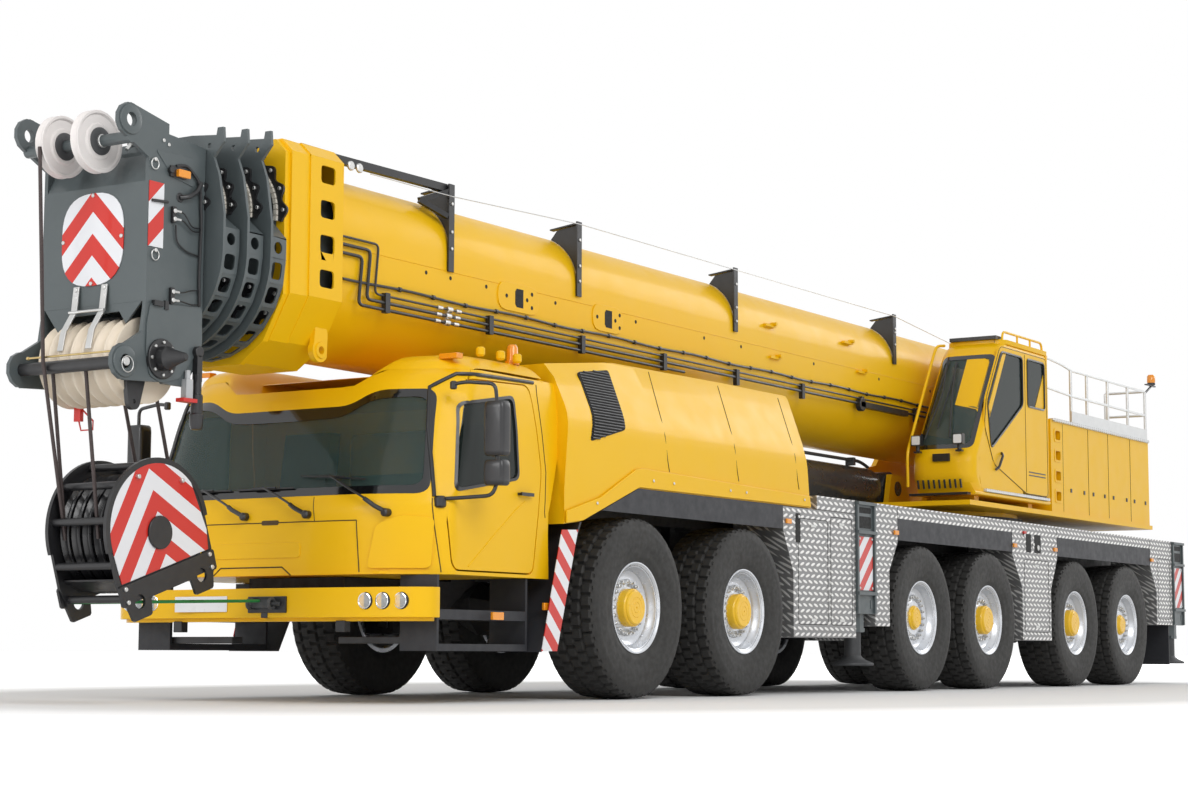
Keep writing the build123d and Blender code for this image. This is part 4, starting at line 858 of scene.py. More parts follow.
def boom_bracket(x, foot, strut):
    """Black bracket at the boom's side that carries the wire: an upright with a curved gusset."""
    edge = arc((FLAT, 3.41), 0.45 + CLEARANCE, np.linspace(0.02, 1.15, 12))
    foot = BRACKET_FOOT if foot > 3.5 else foot
    upright = prism(rectangle((x - 0.035, x + 0.035), (foot, BRACKET_TOP)), "xz", 0.606, 0.622)
    gusset = [(0.40, 3.90), (0.606, 3.93), (0.620, 3.93), (0.620, BRACKET_FOOT)]
    gusset = prism(np.vstack([edge, gusset]), "yz", x - 0.008, x + 0.008)
    ledge = prism([(0.606, 3.93), (0.34, 3.90), (0.34, 3.912), (0.606, 3.945)], "yz", x - 0.03, x + 0.03)
    shapes = [upright, gusset, ledge]
    if strut:
        shapes.append(flat_bar([(6.90, 0.52, 3.925), (x + 0.02, 0.57, 3.925)], 0.03, 0.025))
        for end in ((x + 0.03, 0.60, 3.70), (x + 0.02, 0.60, 3.90)):
            shapes.append(flat_bar([(x + 0.26, 0.50, 3.80), end], 0.02, 0.02))
    return shapes


rise, rise_bolts = [], []
for x, foot, strut in ((5.56, 3.27, True), (3.74, 3.32, False), (1.03, 3.35, False), (-2.46, 3.60, False)):
    rise += boom_bracket(x, foot, strut)
    low = max(foot, BRACKET_FOOT)
    for z in (low + 0.03, low + 0.16, 3.80):
        rise_bolts.append(disc((x, 0, z), 0.013, 0.62, 0.632, count=10, edge=0.002))
piece("boom_brackets", "boom_base", BLACK, rise, bevel=0.003)
piece("bracket_bolts", "boom_base", STEEL, rise_bolts)

# pipes, the cable above them, their clamps, couplings and the wire over the brackets
PIPE_Y, CABLE_Y, CABLE_Z = 0.622, 0.615, 3.04
pipes, clamps, couplings, cable = [], [], [], []
for turn_x, start_z, end_z in ((6.47, 3.342, 2.972), (6.565, 3.285, 2.920), (6.66, 3.222, 2.868)):
    rear = 2.0 if end_z < 2.9 else -4.6
    route = [(6.93, start_z), (turn_x, start_z), (turn_x + 0.04, end_z), (rear, end_z)]
    route = [(x, PIPE_Y, z) for x, z in route]
    pipes.append(bar(eased(route, 0.05, 6), 0.0125 if end_z < 2.95 else 0.009, 10, side=ACROSS))
    for x in (5.72, 5.60, 5.48):
        couplings.append(
            disc(
                (x + 0.3 * (2.92 - end_z), PIPE_Y, end_z), 0.024 if x == 5.60 else 0.017, -0.03, 0.03, "x",
                12, 0.004,
            )
        )
for x in (6.373, 5.04, 3.70, 2.36, 1.03, -0.30, -1.63, -2.96, -4.2):
    clamps.append(prism(rectangle((x - 0.028, x + 0.028), (2.845, 2.995), 0.008), "xz", 0.600, 0.642))


def cable_height(x):
    """The cable sags a little between its ties, as a sine of X."""
    return CABLE_Z + 0.006 * np.sin(x * 4.4)


run = np.linspace(6.88, -4.9, 160)
cable.append(bar(at_y(np.stack([run, cable_height(run)], 1), CABLE_Y), 0.011, 8, side=ACROSS))
for x in np.arange(6.2, -4.8, -0.42):
    cable.append(disc((x, CABLE_Y, cable_height(x)), 0.019, -0.016, 0.016, "x", 8, 0.004))
route = [(5.56, 3.86), (3.74, 3.935), (1.03, 3.935), (-2.46, 3.935), (-5.2, 3.70)]
route = [(6.55, 0.60, 3.86), *[(x, 0.62, z) for x, z in route]]
wire = [bar(route, 0.004, 6, side=ACROSS)]
pulleys = [disc((x, 0, 3.88), 0.035, 0.585, 0.61, count=20, edge=0.006) for x in (6.78, 6.68)]
piece("boom_pipes", "boom_base", BLACK, pipes)
piece("pipe_clamps", "boom_base", BLACK, clamps, bevel=0.003)
piece("pipe_couplings", "boom_base", STEEL, couplings)
piece("boom_cable", "boom_base", BLACK, cable)
piece("angle_wire", "boom_base", STEEL, wire)
piece("wire_pulleys", "boom_base", STEEL, pulleys)
swivel = [
    block((-2.70, -1.55), (0.60, 0.66), (2.88, 2.94)),
    disc((-1.6, 0, 2.91), 0.07, 0.60, 0.66, count=20, edge=0.006),
]
piece("swivel_arm", "boom_base", BLACK, swivel, bevel=0.004)

# ---- boom head ----
FACE_X, SIDE_Y = 8.745, 0.477
LOWER_AXLE, UPPER_AXLE = (8.595, 0, 2.27), (8.910, 0, 3.700)
LOWER_LUG = (8.925, 0, 2.22)
chevron = striped("head_chevrons", (0, 0, 1), 0.295, SIGNAL, -2.98, ((0, 1, 0), -0.01))
oval = round_outline([(-0.29, 2.775), (0.27, 2.775), (0.27, 3.40), (-0.29, 3.40)], 0.26, 9)
piece("head_chevron_plate", BOOM, chevron, [prism(oval, "yz", FACE_X + 0.002, FACE_X + 0.008)])
side_stripes = striped("side_stripes", (1, 0, 1), 0.30, SIGNAL, -11.74)
piece(
    "head_side_stripes", BOOM, side_stripes,
    both(prism(rectangle((8.60, 8.74), (3.005, 3.44)), "xz", SIDE_Y + 0.001, SIDE_Y + 0.005)),
)
bolts = [
    disc((FACE_X, y, z), 0.014, 0.0, 0.018, "x", 10, 0.003)
    for y, z in ((-0.01, 3.385), (0.255, 3.088), (-0.01, 2.79), (-0.275, 3.088))
]
for x, z in ((8.612, 3.73), (8.563, 3.71), (8.53, 2.52), (8.49, 2.60)):
    bolts += both(disc((x, 0, z), 0.013, SIDE_Y, SIDE_Y + 0.008, count=12, edge=0.002))
piece("head_bolts", BOOM, STEEL, bolts)

arms = []
for y in (-0.137, 0.118):
    route = [(8.755, y, 2.775), (8.775, y, 2.60), (8.865, y, 2.46), (8.892, y, 2.33)]
    arms.append(flat_bar(route, 0.026, 0.006, ACROSS))
    arms += [disc((8.752, y, z), 0.016, 0, 0.02, "x", 12, 0.003) for z in (2.755, 2.70)]
arms.append(bar([(8.79, -0.17, 2.60), (8.79, 0.15, 2.60)], 0.010, 10))
piece("rope_keeper_arms", BOOM, STEEL, arms, bevel=0.002)
# a dark plate inside the head's arch: painted shade in the opening
arch = np.array([
    (0.27, 2.53), (0.22, 2.56), (-0.13, 2.575), (-0.21, 2.555), (-0.30, 2.44), (-0.30, 2.36), (0.30, 2.36),
    (0.30, 2.50),
])
piece("head_arch", BOOM, SHADE_AND_JOINT_BLACK, [prism(arch, "yz", FACE_X - 0.11, FACE_X - 0.10)])
yoke = prism(
    [(-0.46, 2.66), (-0.30, 2.46), (-0.22, 2.58), (0.24, 2.585), (0.30, 2.50), (0.46, 2.66)], "yz",
    FACE_X - 0.022, FACE_X - 0.002,
)
piece("head_yoke", BOOM, BOOM_GREY, [yoke], bevel=0.004)


def lower_sheaves():
    """Nylon sheaves side by side: the radius swings as a cosine between groove and rim, once a sheave."""
    across = np.linspace(-0.35, 0.35, 113)
    radius = 0.268 + 0.021 * np.cos(2 * pi * (across - 0.05) / 0.1) - 0.01 * (np.abs(across) > 0.346)
    profile = [(-0.35, 0.072), *zip(across, radius), (0.35, 0.072), (-0.35, 0.072)]
    return lathe(profile, LOWER_AXLE, count=96)


def upper_sheave(y):
    """One big nylon sheave: a grooved rim, a thin web and a thick hub."""
    groove = 0.012 * np.sin(np.linspace(0, pi, 7))
    rim = [(-0.03 + 0.01 * n, 0.209 - g * 1.6) for n, g in enumerate(groove)]
    flank = [(0.034, 0.205), (0.034, 0.19), (0.022, 0.178), (0.022, 0.125), (0.034, 0.115), (0.034, 0.055)]
    profile = [(-along, radius) for along, radius in flank[::-1]]
    return lathe([*profile, *rim, *flank, profile[0]], (UPPER_AXLE[0], y, UPPER_AXLE[2]), count=96)


UPPER_SHEAVES = (-0.16, 0.16)
WHITE_NYLON = finish(
    "white_nylon", (0.76, 0.72, 0.70), (0.84, 0.80, 0.78), rough=(0.3, 0.44), coat=0.15, cloud=3.0,
    grain=120.0,
)
piece(
    "lower_sheaves", BOOM, NYLON, [lower_sheaves()], sharp=60, replaces=("head_sheaves",),
)
piece("upper_sheaves", BOOM, WHITE_NYLON, [upper_sheave(y) for y in UPPER_SHEAVES], sharp=40)
bearing = [
    (-0.05, 0.042), (-0.05, 0.07), (-0.04, 0.093), (0.04, 0.093), (0.05, 0.07), (0.05, 0.042), (-0.05, 0.042),
]
bearings = [
    lathe([(y + along, radius) for along, radius in bearing], UPPER_AXLE, count=40) for y in UPPER_SHEAVES
]
piece("sheave_bearings", BOOM, IRON, bearings)
caps = [disc(UPPER_AXLE, 0.045, 0.20, 0.225, count=28, edge=0.004)]
caps += [
    disc((UPPER_AXLE[0] + dx, 0, UPPER_AXLE[2] + dz), 0.012, 0.22, 0.24, count=8, edge=0.002)
    for dx, dz in ((0.018, 0.012), (-0.018, -0.012))
]
piece("sheave_caps", BOOM, STEEL, caps)

# lower and upper lugs, their raised rings, the pin tube and the sheave axle's flange and stub
rings = []
for x, z, radius in ((8.925, 3.81, 0.100), (8.925, 2.22, 0.105)):
    ring = [
        (0, 0.046), (0, radius), (0.010, radius - 0.003), (0.013, radius - 0.010), (0.013, 0.046), (0, 0.046),
    ]
    rings += both(lathe([(SIDE_Y + along, r) for along, r in ring], (x, 0, z), count=48))
plate = [
    (8.706, 2.63), (8.225, 2.66), (8.205, 2.48), (8.205, 2.40), (8.42, 2.155), (8.585, 2.112), (8.70, 2.15),
    (8.74, 2.32), (8.735, 2.50),
]
rings += both(prism(round_outline(plate, 0.03), "xz", SIDE_Y - 0.001, SIDE_Y + 0.010))
rings += both(
    prism(
        round_outline([(8.30, 3.66), (8.69, 3.66), (8.52, 3.50), (8.30, 3.46)], 0.04), "xz", SIDE_Y - 0.001,
        SIDE_Y + 0.005,
    )
)
piece("head_raised_plates", BOOM, BOOM_GREY, rings, bevel=0.003, sharp=24)
flange = [
    (0.478, 0.0), (0.478, 0.135), (0.500, 0.133), (0.503, 0.128), (0.503, 0.082), (0.56, 0.078),
    (0.585, 0.060), (0.70, 0.026), (0.706, 0.020), (0.706, 0),
]
ring_bolts = [
    disc(
        (LOWER_AXLE[0] + 0.108 * cos(turn), 0, LOWER_AXLE[2] + 0.108 * sin(turn)), 0.011, 0.50, 0.514,
        count=8, edge=0.002,
    )
    for turn in np.arange(0, 6.2, 0.785)
]
piece("axle_flange", BOOM, BLACK, both(lathe(flange, LOWER_AXLE, count=48)), sharp=30)
piece("axle_bolts", BOOM, STEEL, both(*ring_bolts))
piece("pin_tube", BOOM, BLACK, [disc(LOWER_LUG, 0.043, -0.46, 0.46, count=32, edge=0.004)])
BRASS = finish("brass", (0.45, 0.33, 0.14), (0.58, 0.44, 0.20), rough=(0.3, 0.45), metal=0.9)
rod = [bar([(8.975, -0.34, 2.285), (8.975, 0.42, 2.285)], 0.007, 8)]
rod += [disc((8.975, -0.345, 2.285), 0.012, -0.008, 0.008, count=10, edge=0.002)]
piece("brass_rod", BOOM, BRASS, rod)
eyes = [
    hoop((LOWER_LUG[0], 2.20), 0.505, 0.052, 0.0035, 24),
    disc(LOWER_LUG, 0.03, 0.47, 0.50, count=16, edge=0.004),
]
for x, z in ((8.696, 3.557), (8.675, 2.952)):
    eyes += [hoop((x, z), 0.487, (0.034, 0.036), 0.004)]
    eyes += [disc((x, 0, z + 0.03), 0.014, SIDE_Y, SIDE_Y + 0.02, count=12, edge=0.003)]
piece("ring_eyes", BOOM, STEEL, eyes)
ear = lug((8.72, 1.985), 0.055, 0.015, (0.34, 0.375), ((-2.9, -0.2), [(8.80, 2.14), (8.62, 2.14)]))
piece("anchor_ear", BOOM, BLACK, [ear], bevel=0.004)

# marker lamp, connectors, hoses and the limit switches' weights
AMBER = finish(
    "amber_lens", (0.85, 0.27, 0.006), (0.95, 0.36, 0.012), rough=(0.12, 0.2), coat=0.5, cloud=20.0, bump=0.2,
)
piece(
    "head_marker_lamp", BOOM, AMBER,
    both(prism(rectangle((8.385, 8.50), (3.505, 3.555), 0.008), "xz", SIDE_Y + 0.015, SIDE_Y + 0.040)),
    bevel=0.004,
)
mounts = [
    prism(rectangle((8.40, 8.555), (3.50, 3.575), 0.012), "xz", SIDE_Y, SIDE_Y + 0.016),
    disc((8.55, 0, 3.54), 0.022, SIDE_Y, SIDE_Y + 0.03, count=16, edge=0.004),
]
mounts += [
    prism(rectangle((8.495, 8.53), (z - 0.055, z + 0.055), 0.006), "xz", SIDE_Y, SIDE_Y + 0.022)
    for z in (3.245, 2.70)
]
mounts += [
    disc((8.444, 0, 3.372), 0.034, SIDE_Y, SIDE_Y + 0.006, count=20, edge=0.003),
    bar([(8.72, 0.49, 3.31), (8.575, 0.495, 3.318)], 0.010, 10),
]
mounts += [
    block((8.60, 8.69), (SIDE_Y, SIDE_Y + 0.03), (2.615, 2.65)),
    block((8.545, 8.58), (SIDE_Y, SIDE_Y + 0.02), (2.60, 2.66)),
]
piece("head_mounts", BOOM, BLACK, both(*mounts), bevel=0.003)
long_hose = [(8.50, 0.492, 3.575), (8.40, 0.497, 3.60), (8.27, 0.497, 3.50), (8.245, 0.492, 3.25)]
long_hose += [(8.255, 0.492, 2.85), (8.245, 0.492, 2.66)]
thick_hose = [(8.444, 0.48, 3.372), (8.40, 0.515, 3.38), (8.31, 0.510, 3.43), (8.262, 0.500, 3.50)]
routes = [(long_hose, 0.05, 0.010, 8), (thick_hose, 0.03, 0.016, 10)]
PLUGS = (3.27, 3.215, 2.727, 2.67)  # heights of the connectors
for z, drop in zip(PLUGS, (-0.09, -0.06, 0.03, -0.01)):
    route = [(8.50, 0.500, z), (8.43, 0.505, z), (8.34, 0.500, z + drop), (8.262, 0.495, z + drop + 0.01)]
    routes.append((route, 0.035, 0.005, 6))
routes.append((
    [(8.49, 0.49, 3.18), (8.48, 0.49, 3.06), (8.38, 0.49, 3.01), (8.262, 0.49, 3.00)], 0.05, 0.006, 6,
))
hoses = [bar(eased(route, reach), radius, count, side=ACROSS) for route, reach, radius, count in routes]
piece("head_hoses", BOOM, BLACK, both(*hoses))
connectors = [disc((8.512, 0, z), 0.016, SIDE_Y + 0.02, SIDE_Y + 0.032, count=12, edge=0.003) for z in PLUGS]
connectors += [bar([(8.50, 0.502, z), (8.46, 0.505, z)], 0.009, 8) for z in PLUGS]
piece("head_connectors", BOOM, STEEL, both(*connectors))
weight = [(1.83, 0), (1.83, 0.036), (1.86, 0.046), (1.93, 0.048), (1.94, 0.040)]
weight += [(2.06, 0.040), (2.07, 0.030), (2.20, 0.030), (2.21, 0)]
weights = [lathe(weight, (8.26, 0.50, 0), "z", 24)]
weights += [
    block((8.235, 8.285), (0.478, 0.522), (2.15, 2.33)),
    disc((8.26, 0, 2.35), 0.04, 0.478, 0.522, count=20, edge=0.005),
]
piece("limit_weights", BOOM, BLACK, weights, bevel=0.003)
SWITCH = finish("switch_grey", (0.40, 0.41, 0.42), (0.52, 0.53, 0.54), metal=0.2)
switch = [
    block((8.32, 8.385), (0.47, 0.52), (2.03, 2.16)),
    disc((8.35, 0.495, 0), 0.02, 2.16, 2.22, "z", 12, 0.003),
]
piece("limit_switch", BOOM, SWITCH, switch, bevel=0.004)
RED = finish(
    "red_paint", (0.55, 0.012, 0.008), (0.66, 0.02, 0.012), rough=(0.3, 0.45), coat=0.3, cloud=8.0,
    grain=150.0, bump=0.04,
)
straps = [block((8.24, 8.42), (0.46, 0.53), (2.005, 2.03)), block((8.53, 8.56), (-0.33, -0.27), (1.90, 2.0))]
loose_end = [
    (8.54, y, z) for y, z in ((-0.27, 1.98), (-0.17, 1.90), (-0.17, 1.84), (-0.28, 1.84), (-0.30, 1.90))
]
straps.append(bar(loose_end, 0.006, 6, side=(1, 0, 0)))
piece("red_straps", BOOM, RED, straps)
guide = [
    bar([(8.30, -0.16, 3.80), (8.22, -0.16, 3.885), (8.12, -0.16, 3.90), (8.05, -0.16, 3.87)], 0.014, 8),
    disc((8.24, 0, 3.86), 0.032, -0.19, -0.13, count=16, edge=0.004),
]
piece("rope_guide", BOOM, STEEL, guide)

# ---- hook block, in its own upright attitude, then tilted about its sheaves ----
BLOCK_MIDDLE = (8.35, 0, 1.147)
centre = Vector(BLOCK_MIDDLE)
TILT = Matrix.Translation(centre) @ Matrix.Rotation(radians(18), 4, "Y")
ahead, upward = TILT.col[0].to_3d(), TILT.col[2].to_3d()
over = np.linspace(-0.06, pi + 0.06, 40)
dome = arc((0, 0.02), (0.47, 0.46), over)
cheek = np.vstack([dome, [(-0.47, -0.24), (-0.43, -0.38), (0.43, -0.38), (0.47, -0.24)]])
cut = round_outline([(-0.40, -0.20), (-0.34, -0.20), (-0.30, -0.33), (-0.36, -0.33)], 0.02)
cheeks = both(prism(cheek, "xz", 0.250, 0.272, [cut]))
flanges = both(flat_bar(at_y(dome, 0.262), 0.014, 0.02, ACROSS))
ears = [(0.43, -0.385), (0.40, -0.50), (0.22, -0.50), (0.20, -0.385)]
ears += [(-x, z) for x, z in ears[::-1]]
strip = [(-0.47, -0.385), (-0.47, -0.245), (0.47, -0.245), (0.47, -0.385), *ears]
strip = round_outline(strip, 0.012, 2)
holes = [circle((x, -0.385), 0.048, 24) for x in (-0.31, 0.31)]
strips = both(prism(strip, "xz", 0.268, 0.288, holes))
boss = both(disc((0, 0, 0), 0.112, 0.27, 0.294, count=40, edge=0.004))
spacers = [
    disc((x, 0, z), 0.026, -0.255, 0.255, count=16)
    for x, z in (
        (0.445, -0.10), (0.40, 0.19), (0.24, 0.39), (-0.02, 0.455), (-0.28, 0.36), (-0.43, 0.12),
        (-0.445, -0.12), (0.40, -0.34), (-0.40, -0.34),
    )
]
tray = np.array([(-0.42, -0.20), (-0.30, -0.30), (0.30, -0.30), (0.42, -0.20)])
tray = prism(np.vstack([tray, tray[::-1] - (0, 0.012)]), "xz", -0.25, 0.25)
block_shapes = all_placed([*cheeks, *flanges, *strips, *spacers, tray], TILT)
piece(
    "hook_block_frame", BOOM, BLACK, block_shapes, bevel=0.003, replaces=("hook_block",),
)
profile = [(-0.03, 0.06), (-0.03, 0.34), (-0.036, 0.39), (-0.030, 0.40), (-0.010, 0.372)]
profile += [(-along, radius) for along, radius in profile[::-1]] + profile[:1]
grooves = all_placed([lathe(profile, (0, 0.1 * n, 0), count=72) for n in range(-2, 3)], TILT)
SHEAVE_BLACK = finish(
    "sheave_black", (0.010, 0.010, 0.012), (0.022, 0.022, 0.024), rough=(0.25, 0.4), coat=0.3, cloud=5.0,
    grain=150.0,
)
piece("hook_block_sheaves", BOOM, SHEAVE_BLACK, grooves, sharp=30)
inner_dome = arc((0, 0.02), (0.452, 0.442), over)
face = np.vstack([
    inner_dome[inner_dome[:, 0] + 0.5 * inner_dome[:, 1] > -0.28],
    [(-0.452, -0.10), (-0.43, -0.235), (0.43, -0.235)],
])
steep = 0.92
offset = -(centre.dot(upward)) - 0.14
fold = (tuple(ahead * steep), centre.dot(ahead) * steep - 0.02)
block_chevrons = striped("block_chevrons", tuple(upward * steep), 0.27, SIGNAL, offset * steep, fold)
piece("hook_block_chevrons", BOOM, block_chevrons, all_placed(both(prism(face, "xz", 0.272, 0.277)), TILT))
piece("hook_block_boss", BOOM, BLACK, all_placed(boss, TILT))
studs = [
    disc((x, 0, z), 0.016, 0.27, 0.30, count=10, edge=0.003)
    for x, z in ((0.42, -0.27), (-0.42, -0.27), (0.42, -0.36), (-0.42, -0.36), (0.10, 0.41), (-0.30, 0.28))
]
piece("hook_block_bolts", BOOM, STEEL, all_placed(both(*studs), TILT))


def tangent(first, first_radius, second, second_radius, side):
    """Ends of the straight run that touches two wheels in X and Z on the same side."""
    run = np.array(second) - np.array(first)
    length = np.linalg.norm(run)
    along = (first_radius - second_radius) / length
    away = side * np.sqrt(1 - along**2)
    normal = np.array([along * run[0] - away * run[1], along * run[1] + away * run[0]]) / length
    return np.array(first) + first_radius * normal, np.array(second) + second_radius * normal


ROPE = finish(
    "wire_rope", (0.030, 0.022, 0.022), (0.075, 0.055, 0.052), rough=(0.45, 0.65), metal=0.3, cloud=60.0,
    grain=240.0, bump=0.5, depth=0.002,
)
falls = []
upper, lower = (LOWER_AXLE[0], LOWER_AXLE[2]), (BLOCK_MIDDLE[0], BLOCK_MIDDLE[2])
for side in (1, -1):
    top, low = tangent(upper, 0.303, lower, 0.387, side)
    falls += [bar([(top[0], y, top[1]), (low[0], y, low[1])], 0.013, 10) for y in (-0.20, 0.10)]
top, low = tangent((UPPER_AXLE[0], UPPER_AXLE[2]), 0.215, lower, 0.387, 1)
falls.append(bar([(9.105, -0.16, top[1]), (8.995, -0.185, 2.25), (low[0], -0.20, low[1])], 0.013, 10))
piece("rope_falls", BOOM, ROPE, falls)


# ---- driver's cab: every panel is cut out of one smooth skin ----
CAB_REAR, CAB_BOTTOM, EAVES = 5.335, 0.905, 2.40
BEND = 0.36  # how far the front falls back where it meets the sides
TROUGH, TROUGH_HALF = 2.275, 0.54  # the roof's dip under the boom: its height and half of its width


class Skin:
    """A wrapped skin whose sides run straight back.

    Its front is x = front(z) - bend |(y - middle) / half(z)|^power.
    """

    def __init__(self, heights, fronts, halves, bend, power, middle, length):
        self.heights, self.fronts, self.halves, self.middle = heights, fronts, halves, middle
        share = np.linspace(0, 1, 400)
        straight = np.linspace(0, length, 60)[1:]
        self.corner = len(share)
        self.back = np.concatenate([bend * share**power, bend + straight])
        self.share = np.concatenate([share, np.ones(len(straight))])
        steps = np.hypot(np.diff(self.back), max(halves) * np.diff(self.share))
        self.run = np.concatenate([[0], np.cumsum(steps)])

    def place(self, run, height):
        """The point at a distance round the skin and a height."""
        x = np.interp(height, self.heights, self.fronts) - np.interp(np.abs(run), self.run, self.back)
        y = np.sign(run) * np.interp(np.abs(run), self.run, self.share) * np.interp(
            height, self.heights, self.halves,
        )
        return np.stack([x, y + self.middle, height], -1)

    def at(self, run, height, rise=0.0):
        """The same, raised along the normal."""
        run, height = np.broadcast_arrays(np.asarray(run, float), np.asarray(height, float))
        step = 0.004
        round_it = self.place(run + step, height) - self.place(run - step, height)
        normal = np.cross(round_it, self.place(run, height + step) - self.place(run, height - step))
        normal /= np.linalg.norm(normal, axis=-1, keepdims=True) + 1e-12
        return self.place(run, height) + normal * np.asarray(rise, float)[..., None]

    def side(self, outline):
        """(x, z) points on the left side as distances round the skin and heights."""
        outline = np.asarray(outline, float)
        back = np.interp(outline[:, 1], self.heights, self.fronts) - outline[:, 0]
        return np.stack([np.interp(back, self.back, self.run), outline[:, 1]], 1)

    def front(self, outline):
        """(y, z) points on the front as distances round the skin and heights."""
        outline = np.asarray(outline, float)
        share = (outline[:, 0] - self.middle) / np.interp(outline[:, 1], self.heights, self.halves)
        run = np.interp(np.abs(share), self.share[: self.corner], self.run[: self.corner])
        return np.stack([np.sign(share) * run, outline[:, 1]], 1)


CAB = Skin(
    (0.90, 1.25, 1.40, 1.48, 1.70, 2.00, 2.20, 2.30, 2.36, 2.40),
    (6.950, 6.962, 6.955, 6.925, 6.855, 6.765, 6.700, 6.655, 6.610, 6.560),
    (1.420, 1.420, 1.420, 1.418, 1.412, 1.400, 1.380, 1.362, 1.345, 1.325),
    BEND, 5, 0.0, 1.4,
)
cab_skin, by_side, by_front = CAB.at, CAB.side, CAB.front


def dense(outline, step=0.05):
    """A closed outline with extra points along its long edges."""
    outline = np.asarray(outline, float)
    rows = []
    for a, b in zip(outline, np.roll(outline, -1, 0)):
        count = max(1, int(np.linalg.norm(b - a) / step))
        rows.append(a + (b - a) * np.linspace(0, 1, count, endpoint=False)[:, None])
    return np.vstack(rows)


def sheet(outer, inner=None, rise=0.0, thick=0.03, steps=8, skin=cab_skin):
    """A curved plate on a skin between two loops, or over the whole of one, with its own thickness."""
    if inner is None:
        inner = np.tile(outer.mean(0), (len(outer), 1))
    share = np.concatenate([np.linspace(0, 1, steps), np.linspace(1, 0, steps)])[:, None, None]
    level = np.repeat([rise, rise - thick], steps)[:, None] * np.ones(len(outer))
    flat = inner + (outer - inner) * share
    return grid(skin(flat[..., 0], flat[..., 1], level), close_u=True, close_v=True)


def shrunk(loop, by):
    """A loop drawn in by the same distance on each side, about its middle."""
    middle = (loop.max(0) + loop.min(0)) / 2
    return middle + (loop - middle) * (1 - by / ((loop.max(0) - loop.min(0)) / 2))


def boundary(loop, low, high, dip=None):
    """The rectangle round a loop, met by rays from the loop's middle, with its corners kept."""
    middle = (loop.max(0) + loop.min(0)) / 2
    ray = loop - middle
    level = np.abs(ray) < 1e-9
    reach = np.where(level, np.inf, np.where(ray > 0, high - middle, low - middle) / np.where(level, 1, ray))
    out = middle + ray * reach.min(1, keepdims=True)
    for corner in ((low[0], low[1]), (low[0], high[1]), (high[0], low[1]), (high[0], high[1])):
        out[np.argmin(np.linalg.norm(out - corner, axis=1))] = corner
    if dip is not None:
        top = np.abs(out[:, 1] - high[1]) < 1e-6
        out[top, 1] = dip(out[top, 0])
    return out


def matched(outer, inner):
    """The inner loop's points that lie on rays from its middle to each point of the outer loop."""
    middle = (inner.max(0) + inner.min(0)) / 2
    rays, spokes = outer - middle, inner - middle
    angle, reach = np.arctan2(spokes[:, 1], spokes[:, 0]), np.linalg.norm(spokes, axis=1)
    order = np.argsort(angle)
    wanted = np.arctan2(rays[:, 1], rays[:, 0])
    reach = np.interp(wanted, angle[order], reach[order], period=2 * pi)
    return middle + rays * (reach / np.linalg.norm(rays, axis=1))[:, None]


def roof_edge(run):
    """Height of the wall's top: it dips to the trough under the boom."""
    ease = np.clip((np.abs(run) - TROUGH_HALF) / 0.30, 0, 1)
    return TROUGH + (EAVES - TROUGH) * ease**2 * (3 - 2 * ease)


def line(points, radius=0.004, rise=0.0, where=by_side, skin=cab_skin):
    """A thin rod laid on the skin through the given points."""
    corners, rows = where(points), []
    for a, b in zip(corners, corners[1:]):
        count = max(2, int(np.linalg.norm(b - a) / 0.04))
        rows.append(a + (b - a) * np.linspace(0, 1, count, endpoint=False)[:, None])
    path = np.vstack([*rows, corners[-1:]])
    return bar(skin(path[:, 0], path[:, 1], rise * np.ones(len(path))), radius, 8)


def laid(where, corners, radius, steps, gap=0.06):
    """A rounded outline as close points on a skin: distances round it and heights."""
    return where(dense(round_outline(corners, radius, steps), gap))


GAP = finish(
    "panel_gap", (0.05, 0.026, 0.001), (0.09, 0.045, 0.002), rough=(0.5, 0.7), cloud=8.0, grain=100.0,
)
PLASTIC = finish(
    "mirror_plastic", (0.009, 0.009, 0.010), (0.018, 0.018, 0.020), rough=(0.3, 0.45), coat=0.2, cloud=5.0,
    grain=420.0, bump=0.18,
)
BORDER = finish(
    "screen_border", (0.003, 0.003, 0.004), (0.006, 0.006, 0.007), rough=(0.05, 0.12), coat=0.6, cloud=3.0,
    grain=60.0, bump=0.01,
)
DOOR_LINE = [
    (6.60, 0.935), (6.655, 1.46), (6.52, 2.20), (6.40, 2.315), (5.58, 2.345), (5.48, 1.70), (5.60, 0.935),
]
SCREEN = [(1.285, 1.475), (1.20, 2.235), (0.78, 2.235), (0.56, 2.125)]
screen = laid(by_front, [*SCREEN, *[(-y, z) for y, z in SCREEN[::-1]]], 0.09, 6)
door = laid(by_side, DOOR_LINE, 0.07, 5)
window = laid(by_side, [(6.575, 1.49), (6.44, 2.14), (5.80, 2.245), (5.775, 1.625)], 0.06, 5, 0.05)
fold = float(by_side([(6.61, 1.46)])[0, 0])  # where the front ends and the sides begin

SIDE_LENGTH = 1.25
front = sheet(boundary(screen, (-fold, CAB_BOTTOM), (fold, EAVES), roof_edge), screen, steps=12)
wall_edge = boundary(door, (fold, CAB_BOTTOM), (fold + SIDE_LENGTH, EAVES), roof_edge)
wall = sheet(wall_edge, shrunk(door, -0.006), steps=6)
piece("cab_front", "carrier", YELLOW, [front], sharp=50, replaces=("cab_shell",))
piece("cab_sides", "carrier", YELLOW, both(wall), sharp=50)
piece(
    "windscreen", "carrier", GLASS, [sheet(shrunk(screen, -0.012), None, -0.006, 0.008, 16)], sharp=60,
    replaces=("cab_glazing",),
)
inner_edge = shrunk(screen, 0.055)
inner_edge[:, 1] -= 0.05 * np.exp(-((inner_edge[:, 0] / 0.75) ** 4)) * (inner_edge[:, 1] > 1.9)
piece(
    "screen_border", "carrier", BORDER, [sheet(shrunk(screen, -0.004), inner_edge, 0.001, 0.003, 4)],
    sharp=60,
)
